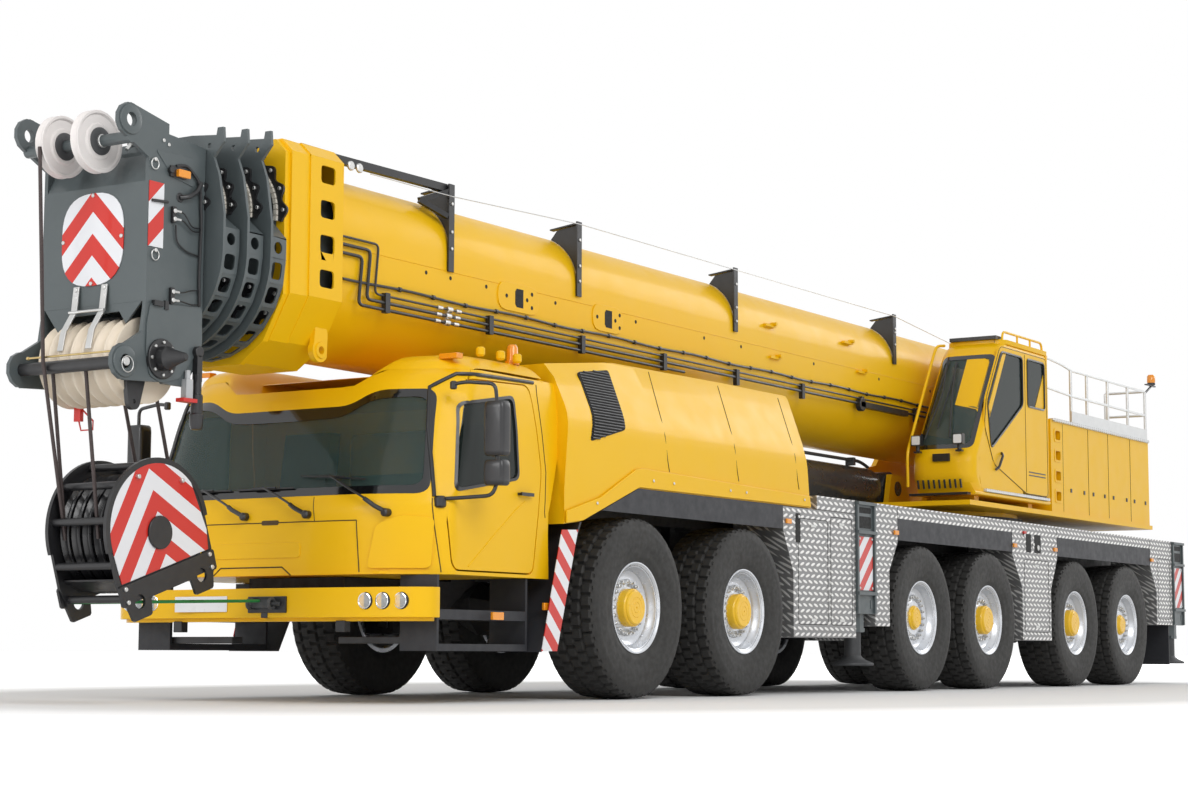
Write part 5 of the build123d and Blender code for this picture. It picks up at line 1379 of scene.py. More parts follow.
MIRROR_BODY = (6.485, 1.71)
MIRRORS = ((1.735, 2.12), (1.525, 1.705))  # bottom and top of the large and the small mirror
for side in ("left", "right"):
    body = f"cab_door_{side}"
    panel_shape = sheet(shrunk(door, 0.006), matched(door, window), 0.0, 0.028, 6)
    piece(
        f"door_panel_{side}", body, YELLOW, on_side(side, panel_shape), sharp=50, replaces=(body,),
    )
    pane = sheet(shrunk(window, -0.02), None, -0.010, 0.006, 8)
    door_glass = glass_finish(f"door_glass_{side}", (0.014, 0.020, 0.018), 0.03, 0.85)
    piece(f"door_pane_{side}", body, door_glass, on_side(side, pane), sharp=60)
    trim = sheet(shrunk(window, -0.004), shrunk(window, 0.022), 0.004, 0.012, 3)
    handle = [block((5.64, 5.80), (1.445, 1.458), (1.505, 1.53))]
    handle += [block((x, x + 0.03), (1.41, 1.45), (1.508, 1.527)) for x in (5.64, 5.77)]
    housings = []
    profile = round_outline([(6.42, 1.625), (6.55, 1.63), (6.54, 1.79), (6.43, 1.795)], 0.03, 5)
    for low, high in MIRRORS:
        bottom = ((0.0, low), (0.8, low), (0.95, low + 0.012), (1.0, low + 0.04))
        top = ((1.0, high - 0.05), (0.96, high - 0.014), (0.82, high), (0.0, high))
        rings = []
        for size, z in (*bottom, *top):
            ring = profile * size + (1 - size) * np.array(MIRROR_BODY)
            rings.append(np.column_stack([ring, np.full(len(ring), z)]))
        housings.append(grid(np.array(rings), close_u=True))
    arms = [
        bar(
            eased([(6.545, 1.36, 2.255), (6.53, 1.46, 2.27), (6.50, 1.70, 2.245), (6.49, 1.71, 2.10)], 0.05),
            0.014, 10,
        ),
        bar(
            eased([(6.655, 1.33, 1.435), (6.60, 1.46, 1.44), (6.51, 1.69, 1.455), (6.49, 1.71, 1.54)], 0.05),
            0.014, 10,
        ),
        bar([(*MIRROR_BODY, 1.70), (*MIRROR_BODY, 1.745)], 0.016, 10),
        disc((6.66, 1.345, 0), 0.045, 1.37, 1.455, "z", 16, 0.014),
        disc((6.54, 1.365, 0), 0.026, 2.22, 2.28, "z", 14, 0.008),
    ]
    piece(f"door_trim_{side}", body, PLASTIC, on_side(side, trim), sharp=50)
    piece(f"door_mirrors_{side}", body, PLASTIC, on_side(side, *housings, *arms, *handle), sharp=40)
    glasses = [block((6.418, 6.4215), (1.655, 1.765), (low + 0.03, high - 0.03)) for low, high in MIRRORS]
    piece(f"mirror_faces_{side}", body, CHROME, on_side(side, *glasses))
    crease = line([(6.42, 0.965), (5.70, 1.47)], 0.005)
    piece(f"door_crease_{side}", body, YELLOW, on_side(side, crease))


def cab_roof():
    """The roof: each strip rises from the wall by (1 - share^6)^0.5 to a crown that dips to the trough."""
    half = np.linspace(0, fold + 0.02, 60)
    runs = np.concatenate([-half[::-1], half[1:]])
    edge = cab_skin(runs, roof_edge(runs))
    y = edge[:, 1]
    ease = np.clip((np.abs(y) - TROUGH_HALF) / 0.28, 0, 1)
    crown = TROUGH + 0.265 * ease**2 * (3 - 2 * ease)
    crown -= (crown - edge[:, 2]) * np.clip((np.abs(y) - 1.06) / 0.27, 0, 1) ** 2
    share = np.linspace(1, 0, 30)[:, None] ** 0.6
    x = CAB_REAR + (edge[:, 0] - CAB_REAR) * share
    z = edge[:, 2] + (crown - edge[:, 2]) * np.sqrt(1 - share**6)
    top = np.stack([x, np.broadcast_to(y, x.shape), z], -1)
    under = top - np.array([0, 0, 1]) * (0.03 * (1 - (np.abs(y) / np.abs(y).max()) ** 8))[:, None]
    return grid(np.concatenate([top, under[::-1]]).transpose(1, 0, 2), close_u=True)


right_edge = [(1.41, 1.50), (1.40, 2.0), (1.33, 2.40), (1.06, 2.53), (0.82, 2.53), (TROUGH_HALF, 2.27)]
outline = [(-1.41, 1.50), *right_edge, *[(-y, z) for y, z in right_edge[:0:-1]]]
rear_window = rectangle((-0.50, 0.50), (1.55, 2.08), 0.05)
back_wall = prism(outline, "yz", CAB_REAR, CAB_REAR + 0.03, [rear_window])
floor_pan = prism(
    [(5.60, -1.40), (6.62, -1.40), (6.90, -1.0), (6.93, 0), (6.90, 1.0), (6.62, 1.40), (5.60, 1.40)], "xy",
    0.905, 0.93,
)
rear_low = prism([(5.345, 1.50), (5.62, 0.905), (5.65, 0.905), (5.365, 1.51)], "xz", -1.40, 1.40)
piece("cab_roof", "carrier", YELLOW, [cab_roof()], sharp=50)
piece("cab_back", "carrier", YELLOW, [back_wall, floor_pan, rear_low], bevel=0.004)
piece("cab_rear_pane", "carrier", GLASS, [block((5.345, 5.353), (-0.53, 0.53), (1.52, 2.11))])

seal = line([(5.50, 2.372), (6.36, 2.355), (6.53, 2.25), (6.615, 1.95), (6.69, 1.45)], 0.015, 0.003)
piece("door_seals", "carrier", BLACK, both(seal))
lines = [
    line([(-1.16, 1.285), (0.82, 1.285)], 0.004, 0, by_front),
    line([(0.82, 1.285), (0.84, 0.92)], 0.004, 0, by_front),
]
lines += [
    line([(0.46, 1.285), (0.43, 1.46)], 0.003, 0, by_front),
    line([(-1.16, 1.285), (-1.16, 0.92)], 0.004, 0, by_front),
]
lines += [line([(-0.50, 0.905), (-0.42, 0.965), (0.16, 0.965), (0.24, 0.905)], 0.005, 0, by_front)]
lines += both(
    line([(6.70, 1.44), (6.66, 0.92)], 0.004), line([(5.46, 2.36), (5.42, 1.70), (5.44, 1.36)], 0.004),
)
piece("cab_seams", "carrier", GAP, lines)
badge = laid(by_front, [(-0.50, 1.03), (0.33, 1.03), (0.33, 1.14), (-0.50, 1.14)], 0.03, 4, 0.05)
fairing = laid(
    by_front, [(0.90, 0.945), (1.31, 0.945), (1.33, 1.30), (1.14, 1.32), (0.97, 1.25)], 0.04, 4, 0.05,
)
slot = laid(by_front, [(-0.03, 1.268), (0.13, 1.268), (0.13, 1.302), (-0.03, 1.302)], 0.014, 4, 0.04)
panels = [sheet(badge, None, 0.006, 0.012, 6), *both(sheet(fairing, None, 0.014, 0.02, 6))]
piece("cab_raised_panels", "carrier", YELLOW, panels, bevel=0.004, sharp=40)
# the hood's slot is a dark sheet in the gap colour: painted shade in it
piece("hood_slot", "carrier", GAP, [sheet(slot, None, 0.002, 0.006, 4)])

wipers = []
for pivot, knee, blade in (
    ((1.05, 1.335), (0.56, 1.60), ((0.28, 1.615), (0.85, 1.575))),
    ((0.40, 1.335), (-0.04, 1.535), ((-0.30, 1.53), (0.23, 1.53))),
    ((-0.18, 1.335), (-0.62, 1.535), ((-0.92, 1.53), (-0.36, 1.53))),
):
    pivot, knee, (low, high) = np.array(pivot), np.array(knee), np.array(blade)
    wipers.append(line([pivot, (pivot * 2 + knee) / 3], 0.017, 0.035, by_front))
    wipers.append(line([pivot, knee], 0.009, 0.040, by_front))
    wipers.append(line([low, high], 0.007, 0.014, by_front))
    wipers.append(line([low * 0.7 + high * 0.3, low * 0.3 + high * 0.7], 0.010, 0.026, by_front))
    spot = cab_skin(*by_front([pivot])[0], 0.0)
    wipers.append(disc(spot, 0.030, -0.02, 0.055, "x", 16, 0.012))
piece("wipers", "carrier", PLASTIC, wipers, sharp=40)
markers = both(block((6.28, 6.36), (1.10, 1.26), (2.475, 2.515)))
for x, z in ((6.12, 0.62), (5.46, 0.70)):
    markers += both(block((x - 0.07, x + 0.07), (1.455, 1.480), (z - 0.028, z + 0.028)))
piece("cab_marker_lamps", "carrier", AMBER, markers, bevel=0.006)
roof_lamps = [disc((x, 1.20, 0), 0.035, 2.53, 2.60, "z", 16, 0.012) for x in (5.98, 5.72, 5.50)]
piece("roof_lamps", "carrier", YELLOW, roof_lamps, bevel=0.002)
beacon = [
    lathe(
        [(2.53, 0), (2.53, 0.055), (2.56, 0.055), (2.565, 0.045), (2.66, 0.043), (2.685, 0.03), (2.69, 0)],
        (5.42, 1.10, 0), "z", 28,
    )
]
piece("cab_beacon", "carrier", AMBER, beacon)

# ---- bumper ----
plan = [(6.80, 1.47), (6.90, 1.46), (6.985, 1.36), (7.02, 1.20), (7.055, 0.90), (7.085, 0.50), (7.10, 0.15)]
plan += [(x, -y) for x, y in plan[::-1]]
back = [(6.80, 1.33), (6.90, 1.10), (6.92, 0.6), (6.94, 0.0), (6.92, -0.6), (6.90, -1.10), (6.80, -1.33)]
bumper = np.vstack([round_outline(plan, 0.03, 3), back[::-1]])
shapes = [
    prism(bumper, "xy", 0.60, 0.81),
    prism((bumper - (6.9, 0)) * (0.8, 0.97) + (6.885, 0), "xy", 0.575, 0.602),
]
shapes += [block((6.66, 6.95), (-0.42, 0.42), (0.65, 0.80))]
piece(
    "bumper", "carrier", YELLOW, shapes, bevel=0.014, sharp=40, replaces=("front_bumper",),
)


def bumper_x(y):
    """The bumper's front face at a given Y."""
    y = np.abs(y)
    return np.interp(y, [0.15, 0.50, 0.90, 1.20, 1.36], [7.10, 7.085, 7.055, 7.02, 6.985])


reflectors, lenses, dark = [], [], []
LAMP_HEIGHT = 0.715
for y in (1.13, 1.27, 0.99, -1.13, -1.27, -0.99):
    at = (bumper_x(y) + 0.002, y, LAMP_HEIGHT)
    rim_line = [(-0.02, 0.0), (0.0, 0.052), (0.006, 0.056), (0.008, 0.050), (-0.006, 0.042), (-0.016, 0.0)]
    reflectors.append(lathe(rim_line, at, "x", 32))
    lenses.append(
        lathe([(-0.004, 0.0), (-0.004, 0.044), (0.004, 0.046), (0.014, 0.030), (0.018, 0.0)], at, "x", 28)
    )
    dark.append(lathe([(-0.03, 0.0), (-0.03, 0.062), (-0.001, 0.062), (-0.001, 0.0)], at, "x", 32))
piece("lamp_rims", "carrier", CHROME, reflectors, sharp=50)
piece("lamp_lenses", "carrier", glass_finish("lamp_glass", (0.85, 0.88, 0.90), 0.02, 0.35), lenses, sharp=60)
dark += [
    block((7.05, 7.108), (-0.02, 0.33), (0.635, 0.752)), block((7.03, 7.105), (0.10, 0.16), (0.60, 0.64)),
]
dark += both(block((6.96, 7.03), (0.72, 0.80), (0.50, 0.58)), block((6.60, 6.72), (0.50, 1.30), (0.42, 0.47)))
piece("bumper_dark_parts", "carrier", BLACK, dark, bevel=0.005)
PLATE_WHITE = finish(
    "blank_plate", (0.74, 0.75, 0.76), (0.82, 0.83, 0.84), rough=(0.25, 0.35), coat=0.2, cloud=2.0,
    grain=60.0, bump=0.02,
)
piece(
    "front_plate", "carrier", PLATE_WHITE, [block((7.100, 7.106), (-0.72, -0.22), (0.645, 0.757))],
    bevel=0.002,
)
swung = Matrix.Translation((7.068, 0, 0)) @ Matrix.Rotation(radians(4.3), 4, "Z")
recess = placed(prism(rectangle((0.50, 0.80), (0.715, 0.775), 0.008), "yz", 0, 0.004), swung)
piece("bumper_recess", "carrier", YELLOW, [recess], bevel=0.002)
shackles = [hoop((7.14, 0.70), y, 0.035, 0.011, sides=8) for y in (0.03, 0.23)]
shackles += [
    bar([(7.115, -0.02, 0.70), (7.115, 0.28, 0.70)], 0.014, 10),
    block((7.10, 7.14), (0.05, 0.21), (0.67, 0.73)),
]
piece("tow_shackles", "carrier", IRON, shackles)
STRAP = finish(
    "green_strap", (0.005, 0.14, 0.03), (0.012, 0.22, 0.05), rough=(0.5, 0.7), cloud=20.0, grain=260.0,
    bump=0.3,
)
low_left = centre + ahead * 0.40 - upward * 0.36
straps = []
for y, end in ((0.26, 0.12), (-0.26, 0.02)):
    straps.append(bar([(low_left.x, y, low_left.z), (7.15, end, 0.72)], 0.011, 8, side=ACROSS))
piece("green_straps", BOOM, STRAP, straps)


# ---- engine housings ----
HOUSING = np.array([
    (1.49, 1.60), (1.50, 2.02), (1.494, 2.10), (1.478, 2.17), (1.45, 2.235), (1.22, 2.665), (1.19, 2.70),
    (1.15, 2.715), (0.76, 2.715),
])


def housing_half(height):
    """Half of the housing's width at a height, up to the top fold."""
    return np.interp(height, HOUSING[:7, 1], HOUSING[:7, 0])


def housing_skin(run, height, rise=0.0):
    """The housing's side: upright up to a rounded fold, then sloping in to the top; rise is outward."""
    run, height = np.broadcast_arrays(np.asarray(run, float), np.asarray(height, float))
    step, rise = 0.02, np.asarray(rise, float)
    slope = np.arctan2(housing_half(height + step) - housing_half(height - step), 2 * step)
    return np.stack(
        [run + 0 * rise, housing_half(height) + rise * np.cos(slope), height - rise * np.sin(slope)], -1,
    )


def engine_housing():
    """Section swept along X from a slanted rear end to the nose, its lower edge falling ahead of wheel 1."""
    section = np.vstack([
        [(0.76, 1.30), (1.485, 1.30)], HOUSING[:1] - (0, 0.2), HOUSING[:4], dense(HOUSING[3:6], 0.08)[:-8],
        HOUSING[5:], [(0.76, 2.0)],
    ])
    share = np.linspace(0, 1, 60)[:, None]
    rear = np.interp(section[:, 1], [1.60, 1.66, 2.17, 2.71], [1.245, 1.255, 1.335, 1.135])
    front = np.interp(section[:, 1], [1.78, 2.56, 2.72], [5.285, 5.185, 5.16])
    x = rear + (front - rear) * share
    low = np.interp(x, [1.25, 4.225, 5.045, 5.29], [1.66, 1.652, 1.352, 1.322])
    high = np.interp(x, [1.135, 4.145, 5.19], [2.712, 2.682, 2.562])
    rows = np.stack([x, np.broadcast_to(section[:, 0], x.shape), np.clip(section[:, 1], low, high)], -1)
    caps = [np.broadcast_to(rows[n].mean(0), rows[n].shape)[None] for n in (0, -1)]
    return grid(np.concatenate([caps[0], rows, caps[1]]), close_v=True)


piece(
    "housing_shells", "carrier", YELLOW, both(engine_housing()), sharp=28, replaces=("engine_housings",),
)
band = [
    (5.05, 1.358), (5.28, 1.328), (5.28, 1.42), (4.80, 1.55), (4.28, 1.80), (4.18, 1.815), (1.285, 1.765),
    (1.262, 1.668), (4.225, 1.660),
]
piece("housing_bands", "carrier", YELLOW, both(prism(band, "xz", 1.494, 1.512)), bevel=0.006)
seams = []
for x in (3.81, 2.65, 1.54):
    path = housing_skin(x - np.array([0.19, 0.02, 0, 0.04, 0.07]), np.array([2.66, 2.24, 2.10, 1.90, 1.815]))
    seams += both(bar(path, 0.004, 6, side=(1, 0, 0)))
piece("housing_seams", "carrier", GAP, seams)
screws = [
    disc((x, 0, 1.725), 0.012, 1.512, 1.520, count=10, edge=0.002) for x in (4.02, 3.70, 2.76, 2.48, 1.40)
]
screws += [disc((4.86, 0, 1.50), 0.012, 1.512, 1.520, count=10, edge=0.002)]
piece("housing_screws", "carrier", STEEL, both(*screws))
vent = [(4.81, 2.53), (4.885, 2.16), (4.94, 1.97), (4.42, 2.10), (4.40, 2.22), (4.30, 2.60)]
vent = dense(round_outline(vent, 0.035, 4), 0.05)
# a dark plate under the slats: painted shade behind the vent
plate = sheet(vent, None, 0.004, 0.012, 5, housing_skin)
slats = []
for z in np.arange(2.00, 2.585, 0.0235):
    rear = np.interp(z, [2.10, 2.22, 2.60], [4.435, 4.415, 4.315])
    front = np.interp(z, [1.97, 2.16, 2.53], [4.925, 4.87, 4.795])
    if z < 2.10:
        rear = np.interp(z, [1.985, 2.11], [4.86, 4.44])
    if z > 2.53:
        front = np.interp(z, [2.53, 2.59], [4.79, 4.38])
    slats.append(bar(housing_skin([rear, front], z, 0.007), 0.0065, 6))
piece("housing_vents", "carrier", SHADE_AND_JOINT_BLACK, both(plate))
piece("housing_slats", "carrier", BLACK, both(*slats))

# ---- stripes, marker lamps and hatches along the carrier ----
BOX_SIDE = 1.50
falling = striped("falling_stripes", (-1, 0, 1), 0.245, SIGNAL, 20.03)
rising = striped("rising_stripes", (1, 0, 1), 0.235, SIGNAL, 20.0)
panels = both(prism([(5.335, 1.275), (5.115, 1.285), (5.395, 0.372), (5.60, 0.372)], "xz", 1.499, 1.505))
piece("mudguard_stripes", "carrier", falling, panels)
lamps = []
z = 1.52
for x in (1.70, -0.53, -3.52, -4.70, -7.94):
    lamps += both(block((x - 0.045, x + 0.045), (BOX_SIDE, BOX_SIDE + 0.022), (z - 0.022, z + 0.022)))
piece("side_marker_lamps", "carrier", AMBER, lamps, bevel=0.006)
lines = []
groove = BOX_SIDE - 0.0005
for front, rear, low, high in (
    (1.50, 0.92, 0.62, 1.56),
    (0.86, 0.42, 0.62, 1.60),
    (-3.80, -4.50, 0.60, 1.38),
    (-8.18, -8.62, 0.80, 1.55),
):
    loop = round_outline([(front, low), (rear, low), (rear, high), (front, high)], 0.03, 3)
    lines.append(bar(at_y(loop, groove), 0.0035, 6, side=ACROSS, closed=True))
for x in (-0.585, -3.465, -4.775, -7.895):
    lines.append(bar([(x, groove, 1.77), (x, groove, 1.44)], 0.003, 6, side=ACROSS))
lines.append(bar([(1.12, groove, 1.655), (0.36, groove, 1.655)], 0.003, 6, side=ACROSS))
piece("hatch_lines", "carrier", SHADE_AND_JOINT_BLACK, both(*lines))
recesses, fittings = [], []
# the recesses are dark plates on the box side: painted shade in them
for x, z in (((1.46, 1.55), (1.34, 1.60)), ((-4.00, -3.86), (1.46, 1.66)), ((-4.28, -4.10), (1.46, 1.66))):
    recesses.append(prism(rectangle(x, z, 0.02), "xz", BOX_SIDE - 0.0015, BOX_SIDE + 0.003))
for x, z, radius in ((-3.80, 1.64, 0.02), (-4.06, 1.55, 0.018), (-4.19, 1.52, 0.03), (1.50, 1.57, 0.016)):
    fittings.append(disc((x, 0, z), radius, BOX_SIDE, BOX_SIDE + 0.015, count=14, edge=0.003))
for x, z in ((1.21, 0.66), (0.64, 0.66), (1.21, 1.50), (0.64, 1.54), (-4.15, 0.66), (-4.15, 1.32)):
    fittings.append(block((x - 0.05, x + 0.05), (BOX_SIDE, BOX_SIDE + 0.008), (z - 0.012, z + 0.012)))
piece("box_recesses", "carrier", SHADE_AND_JOINT_BLACK, both(*recesses))
piece("box_fittings", "carrier", STEEL, both(*fittings), bevel=0.002)
piece("red_handle", "carrier", RED, [block((-3.77, -3.83), (BOX_SIDE, BOX_SIDE + 0.02), (1.66, 1.685))])

# ---- outriggers: a frame on each end plate, slots at the top, stripes and the jack ----
JACK = [
    (0.25, 0.0), (0.25, 0.192), (0.262, 0.197), (0.275, 0.192), (0.305, 0.12), (0.33, 0.088), (0.345, 0.078),
]
JACK += [(1.60, 0.078), (1.605, 0.0)]
for end, x in (("front", 0.140), ("rear", -8.925)):
    for side in ("left", "right"):
        body = f"outrigger_beam_{end}_{side}"
        frame_bars = [
            block((low, low + 0.033), (1.498, 1.522), (0.735, 1.775)) for low in (x - 0.198, x + 0.165)
        ]
        frame_bars += [
            block((x - 0.198, x + 0.198), (1.498, 1.535), (z, z + 0.03)) for z in (0.905, 1.475, 1.745)
        ]
        frame_bars += [
            block((x - 0.16, x - 0.10), (1.498, 1.505), (0.78, 0.86)),
            block((x - 0.10, x + 0.10), (1.30, 1.44), (0.565, 0.60)),
        ]
        piece(f"{body}_frame", body, BOOM_GREY, on_side(side, *frame_bars), bevel=0.004)
        # the slots are dark plates on the end plate: painted shade in them
        openings = [
            prism(rectangle((x - 0.13, x + 0.13), z, 0.02), "xz", 1.4985, 1.502)
            for z in ((1.53, 1.64), (1.67, 1.725))
        ]
        piece(f"{body}_slots", body, SHADE_AND_JOINT_BLACK, on_side(side, *openings))
        piece(
            f"{body}_stripes", body, rising,
            on_side(side, block((x - 0.150, x + 0.150), (1.500, 1.506), (0.95, 1.45))),
        )
        studs = [
            disc((x + dx, 0, z), 0.012, 1.505, 1.514, count=10, edge=0.002) for dx in (-0.13, 0.13)
            for z in (0.97, 1.43)
        ]
        piece(f"{body}_studs", body, STEEL, on_side(side, *studs))
        foot = f"jack_foot_{end}_{side}"
        jack = on_side(side, lathe(JACK, (x, 1.36, 0), "z", 40))
        piece(f"jack_{end}_{side}", foot, IRON, jack, sharp=30, replaces=(foot,))

# ---- crane driver's cab ----
LEVELS = (2.03, 2.20, 2.40, 2.50, 3.50, 3.60, 3.66, 3.70)
FRONTS = (-2.505, -2.425, -2.435, -2.500, -3.160, -3.235, -3.290, -3.350)
HALVES = (0.350, 0.352, 0.352, 0.352, 0.350, 0.346, 0.336, 0.318)
UPPER = Skin(LEVELS, FRONTS, HALVES, 0.10, 6, 1.145, 2.2)
CAB_FLOOR, CAB_TOP, CAB_BACK = 2.03, 3.70, -4.60
screen = laid(UPPER.front, [(1.455, 2.50), (1.445, 3.56), (0.845, 3.56), (0.835, 2.50)], 0.07, 6)
fold = float(UPPER.side([(-2.62, 2.40)])[0, 0])  # where the front ends and the sides begin
rear_edge = float(UPPER.side([(-4.59, 3.60)])[0, 0]) - 0.02
front = sheet(boundary(screen, (-fold, CAB_FLOOR), (fold, CAB_TOP)), screen, 0, 0.02, 10, UPPER.at)
door_line = [
    (-4.53, 2.10), (-3.90, 2.10), (-3.00, 2.36), (-2.76, 2.75), (-2.82, 3.05), (-3.22, 3.64), (-4.53, 3.64),
]
door_line = round_outline(door_line, 0.06, 4)
door_loop = UPPER.side(dense(door_line, 0.06))
wall_edge = boundary(door_loop, (fold, CAB_FLOOR), (rear_edge, CAB_TOP))
wall = sheet(wall_edge, shrunk(door_loop, -0.004), 0, 0.03, 5, UPPER.at)
right_window = [(-3.50, 2.75), (-3.50, 3.50), (-4.30, 3.50), (-4.30, 2.75)]
right_window = laid(UPPER.side, right_window, 0.05, 5) * (-1, 1)
wall_edge = boundary(right_window, (-rear_edge, CAB_FLOOR), (-fold, CAB_TOP))
right_wall = sheet(wall_edge, right_window, 0, 0.03, 8, UPPER.at)
crown = [(CAB_BACK, 0.805), (-3.46, 0.805), (-3.37, 0.86), (-3.345, 1.0)]
crown += [(-3.345, 1.29), (-3.37, 1.43), (-3.46, 1.485), (CAB_BACK, 1.485)]
rear_wall = prism(rectangle((0.80, 1.49), (CAB_FLOOR, CAB_TOP), 0.04), "yz", CAB_BACK, CAB_BACK + 0.025)
shells = [front, wall, right_wall, prism(crown, "xy", 3.688, 3.738), rear_wall]
floor = [
    (CAB_BACK, 0.80), (-2.62, 0.80), (-2.52, 0.90), (-2.50, 1.145), (-2.52, 1.39), (-2.62, 1.49),
    (CAB_BACK, 1.49),
]
shells += [prism(floor, "xy", 2.012, 2.045)]
shells += [block((x - 0.06, x + 0.06), (0.90, 1.38), (1.95, 2.015)) for x in (-4.30, -2.80)]
piece(
    "upper_cab_body", "superstructure", YELLOW, shells, bevel=0.006, sharp=50, replaces=("upper_cab_shell",),
)
liner = [
    block((-4.572, -4.562), (0.83, 1.465), (2.05, 3.68)), block((-4.55, -2.62), (0.836, 0.846), (2.05, 2.68)),
]
liner += [
    block((-4.55, -3.42), (0.84, 1.46), (3.672, 3.684)), block((-4.55, -2.60), (0.83, 1.465), (2.047, 2.055)),
]
piece("upper_cab_liner", "superstructure", SEAT, liner)
panes = [sheet(shrunk(screen, -0.01), None, -0.005, 0.008, 10, UPPER.at)]
panes += [sheet(shrunk(right_window, -0.015), None, -0.01, 0.008, 6, UPPER.at)]
UPPER_GLASS = glass_finish("upper_cab_glass", (0.055, 0.085, 0.080), 0.02, 0.5)
piece(
    "upper_cab_panes", "superstructure", UPPER_GLASS, panes, sharp=60, replaces=("upper_cab_glazing",),
)
piece(
    "upper_cab_border", "superstructure", BORDER,
    [sheet(shrunk(screen, -0.002), shrunk(screen, 0.045), 0.001, 0.003, 3, UPPER.at)], sharp=60,
)

# its door: two flat leaves a little proud of the wall, one on each side of the seam
SIDE, SEAM_X = 1.501, -3.90
front_pane = [(-2.84, 3.00), (-3.235, 3.585), (-3.83, 3.585), (-3.83, 3.06), (-3.40, 2.80), (-2.93, 2.52)]
rear_pane = [(-3.97, 3.06), (-3.97, 3.585), (-4.47, 3.585), (-4.47, 3.06)]
windows = [round_outline(front_pane, 0.06, 5), round_outline(rear_pane, 0.05, 5)]
meeting = (SEAM_X - 0.001, SEAM_X + 0.001)
door_front = [
    (meeting[0], 2.10), (-3.00, 2.36), (-2.76, 2.75), (-2.82, 3.05), (-3.22, 3.64), (meeting[0], 3.64),
]
door_rear = [(-4.53, 2.10), (meeting[1], 2.10), (meeting[1], 3.64), (-4.53, 3.64)]
leaves = [
    prism(round_outline(leaf, 0.02, 3), "xz", SIDE - 0.025, SIDE, [pane])
    for leaf, pane in zip((door_front, door_rear), windows)
]
piece("upper_door_panel", "upper_cab_door", YELLOW, leaves, replaces=("upper_cab_door",))
UPPER_DOOR_GLASS = glass_finish("upper_door_glass", (0.020, 0.030, 0.028), 0.03, 0.75)
door_panes = [prism(window, "xz", SIDE - 0.016, SIDE - 0.010) for window in windows]
piece("upper_door_panes", "upper_cab_door", UPPER_DOOR_GLASS, door_panes, sharp=40)
trims = [bar(at_y(window, SIDE + 0.001), 0.011, 6, side=ACROSS, closed=True) for window in windows]
grip = [(-3.03, SIDE + 0.005, 2.30), (-3.06, 1.535, 2.33), (-3.17, 1.535, 2.46), (-3.20, SIDE + 0.005, 2.49)]
trims.append(bar(eased(grip, 0.02), 0.014, 8))
trims += [block((-4.46, -3.98), (SIDE - 0.002, SIDE + 0.004), (z, z + 0.012)) for z in (2.30, 2.335)]
piece("upper_door_trim", "upper_cab_door", PLASTIC, trims)
lines = [bar(at_y(door_line, SIDE - 0.001), 0.004, 6, side=ACROSS, closed=True)]
lines += [bar([(SEAM_X, SIDE, 3.62), (SEAM_X, SIDE, 2.12)], 0.004, 6, side=ACROSS)]
piece("upper_cab_seams", "upper_cab_door", GAP, lines)
black = []
for route, radius, rise in (
    ([(1.20, 2.60), (1.10, 3.05), (1.04, 3.47)], 0.008, 0.03),
    ([(1.02, 2.72), (1.05, 3.48)], 0.007, 0.012),
    ([(0.92, 2.60), (0.98, 3.10), (0.93, 3.50)], 0.008, 0.03),
    ([(0.90, 2.90), (0.94, 3.52)], 0.007, 0.012),
):
    black.append(line(route, radius, rise, UPPER.front, UPPER.at))
black += [block((-3.46, -3.30), (0.88, 1.42), (3.735, 3.775))]
black += [block((-3.44, -3.36), (y, y + 0.05), (3.70, 3.75)) for y in (0.92, 1.33)]
black += [
    block((-2.43, -2.405), (1.06, 1.25), (2.36, 2.44)), block((-2.47, -2.38), (0.80, 1.46), (2.005, 2.03)),
]
black += [bar([(-2.455, y, 2.08), (-2.43, y, 2.17)], 0.012, 6) for y in np.arange(0.88, 1.42, 0.06)]
piece("upper_cab_black_parts", "superstructure", PLASTIC, black, bevel=0.003)
lamps, faces = [], []
for y in (0.89, 1.36):
    lamps += [
        block((-2.44, -2.37), (y - 0.055, y + 0.055), (2.53, 2.64)),
        disc((-2.42, y, 0), 0.022, 2.47, 2.54, "z", 12, 0.004),
        block((-2.45, -2.39), (y - 0.035, y + 0.035), (2.455, 2.475)),
    ]
    faces.append(prism(rectangle((y - 0.045, y + 0.045), (2.54, 2.63), 0.012), "yz", -2.372, -2.364))
piece("work_lamps", "superstructure", PLASTIC, lamps, bevel=0.008)
piece("work_lamp_faces", "superstructure", PLATE_WHITE, faces, bevel=0.002)
rails = [
    bar(
        eased([(-2.36, 0.80, 2.10), (-2.35, 0.80, 2.46), (-3.13, 0.80, 3.68), (-3.30, 0.82, 3.70)], 0.08),
        0.016, 10, side=ACROSS,
    )
]
rails += [
    bar(
        eased([(-3.42, 1.44, 3.72), (-3.44, 1.44, 3.83), (-4.56, 1.44, 3.83), (-4.58, 1.44, 3.70)], 0.06),
        0.013, 10, side=ACROSS,
    )
]
rails += [bar([(x, 1.44, 3.83), (x, 1.44, 3.72)], 0.012, 8) for x in (-3.85, -4.22)]
rails += [bar([(-2.45, 1.50, 2.03), (-4.56, 1.50, 2.03)], 0.020, 8)]
piece("upper_cab_hand_rails", "superstructure", YELLOW, rails)
tread = [
    block((-4.52, -2.72), (1.475, 1.53), (2.055, 2.075)),
    block((-8.06, -4.80), (1.42, 1.472), (2.985, 3.006)),
]
teeth = [block((x, x + 0.025), (1.50, 1.532), (2.05, 2.082)) for x in np.arange(-4.50, -2.74, 0.05)]
teeth += [block((x, x + 0.03), (1.44, 1.476), (2.975, 3.012)) for x in np.arange(-8.04, -4.82, 0.07)]
piece("tread_strips", "superstructure", RAIL, tread + teeth)

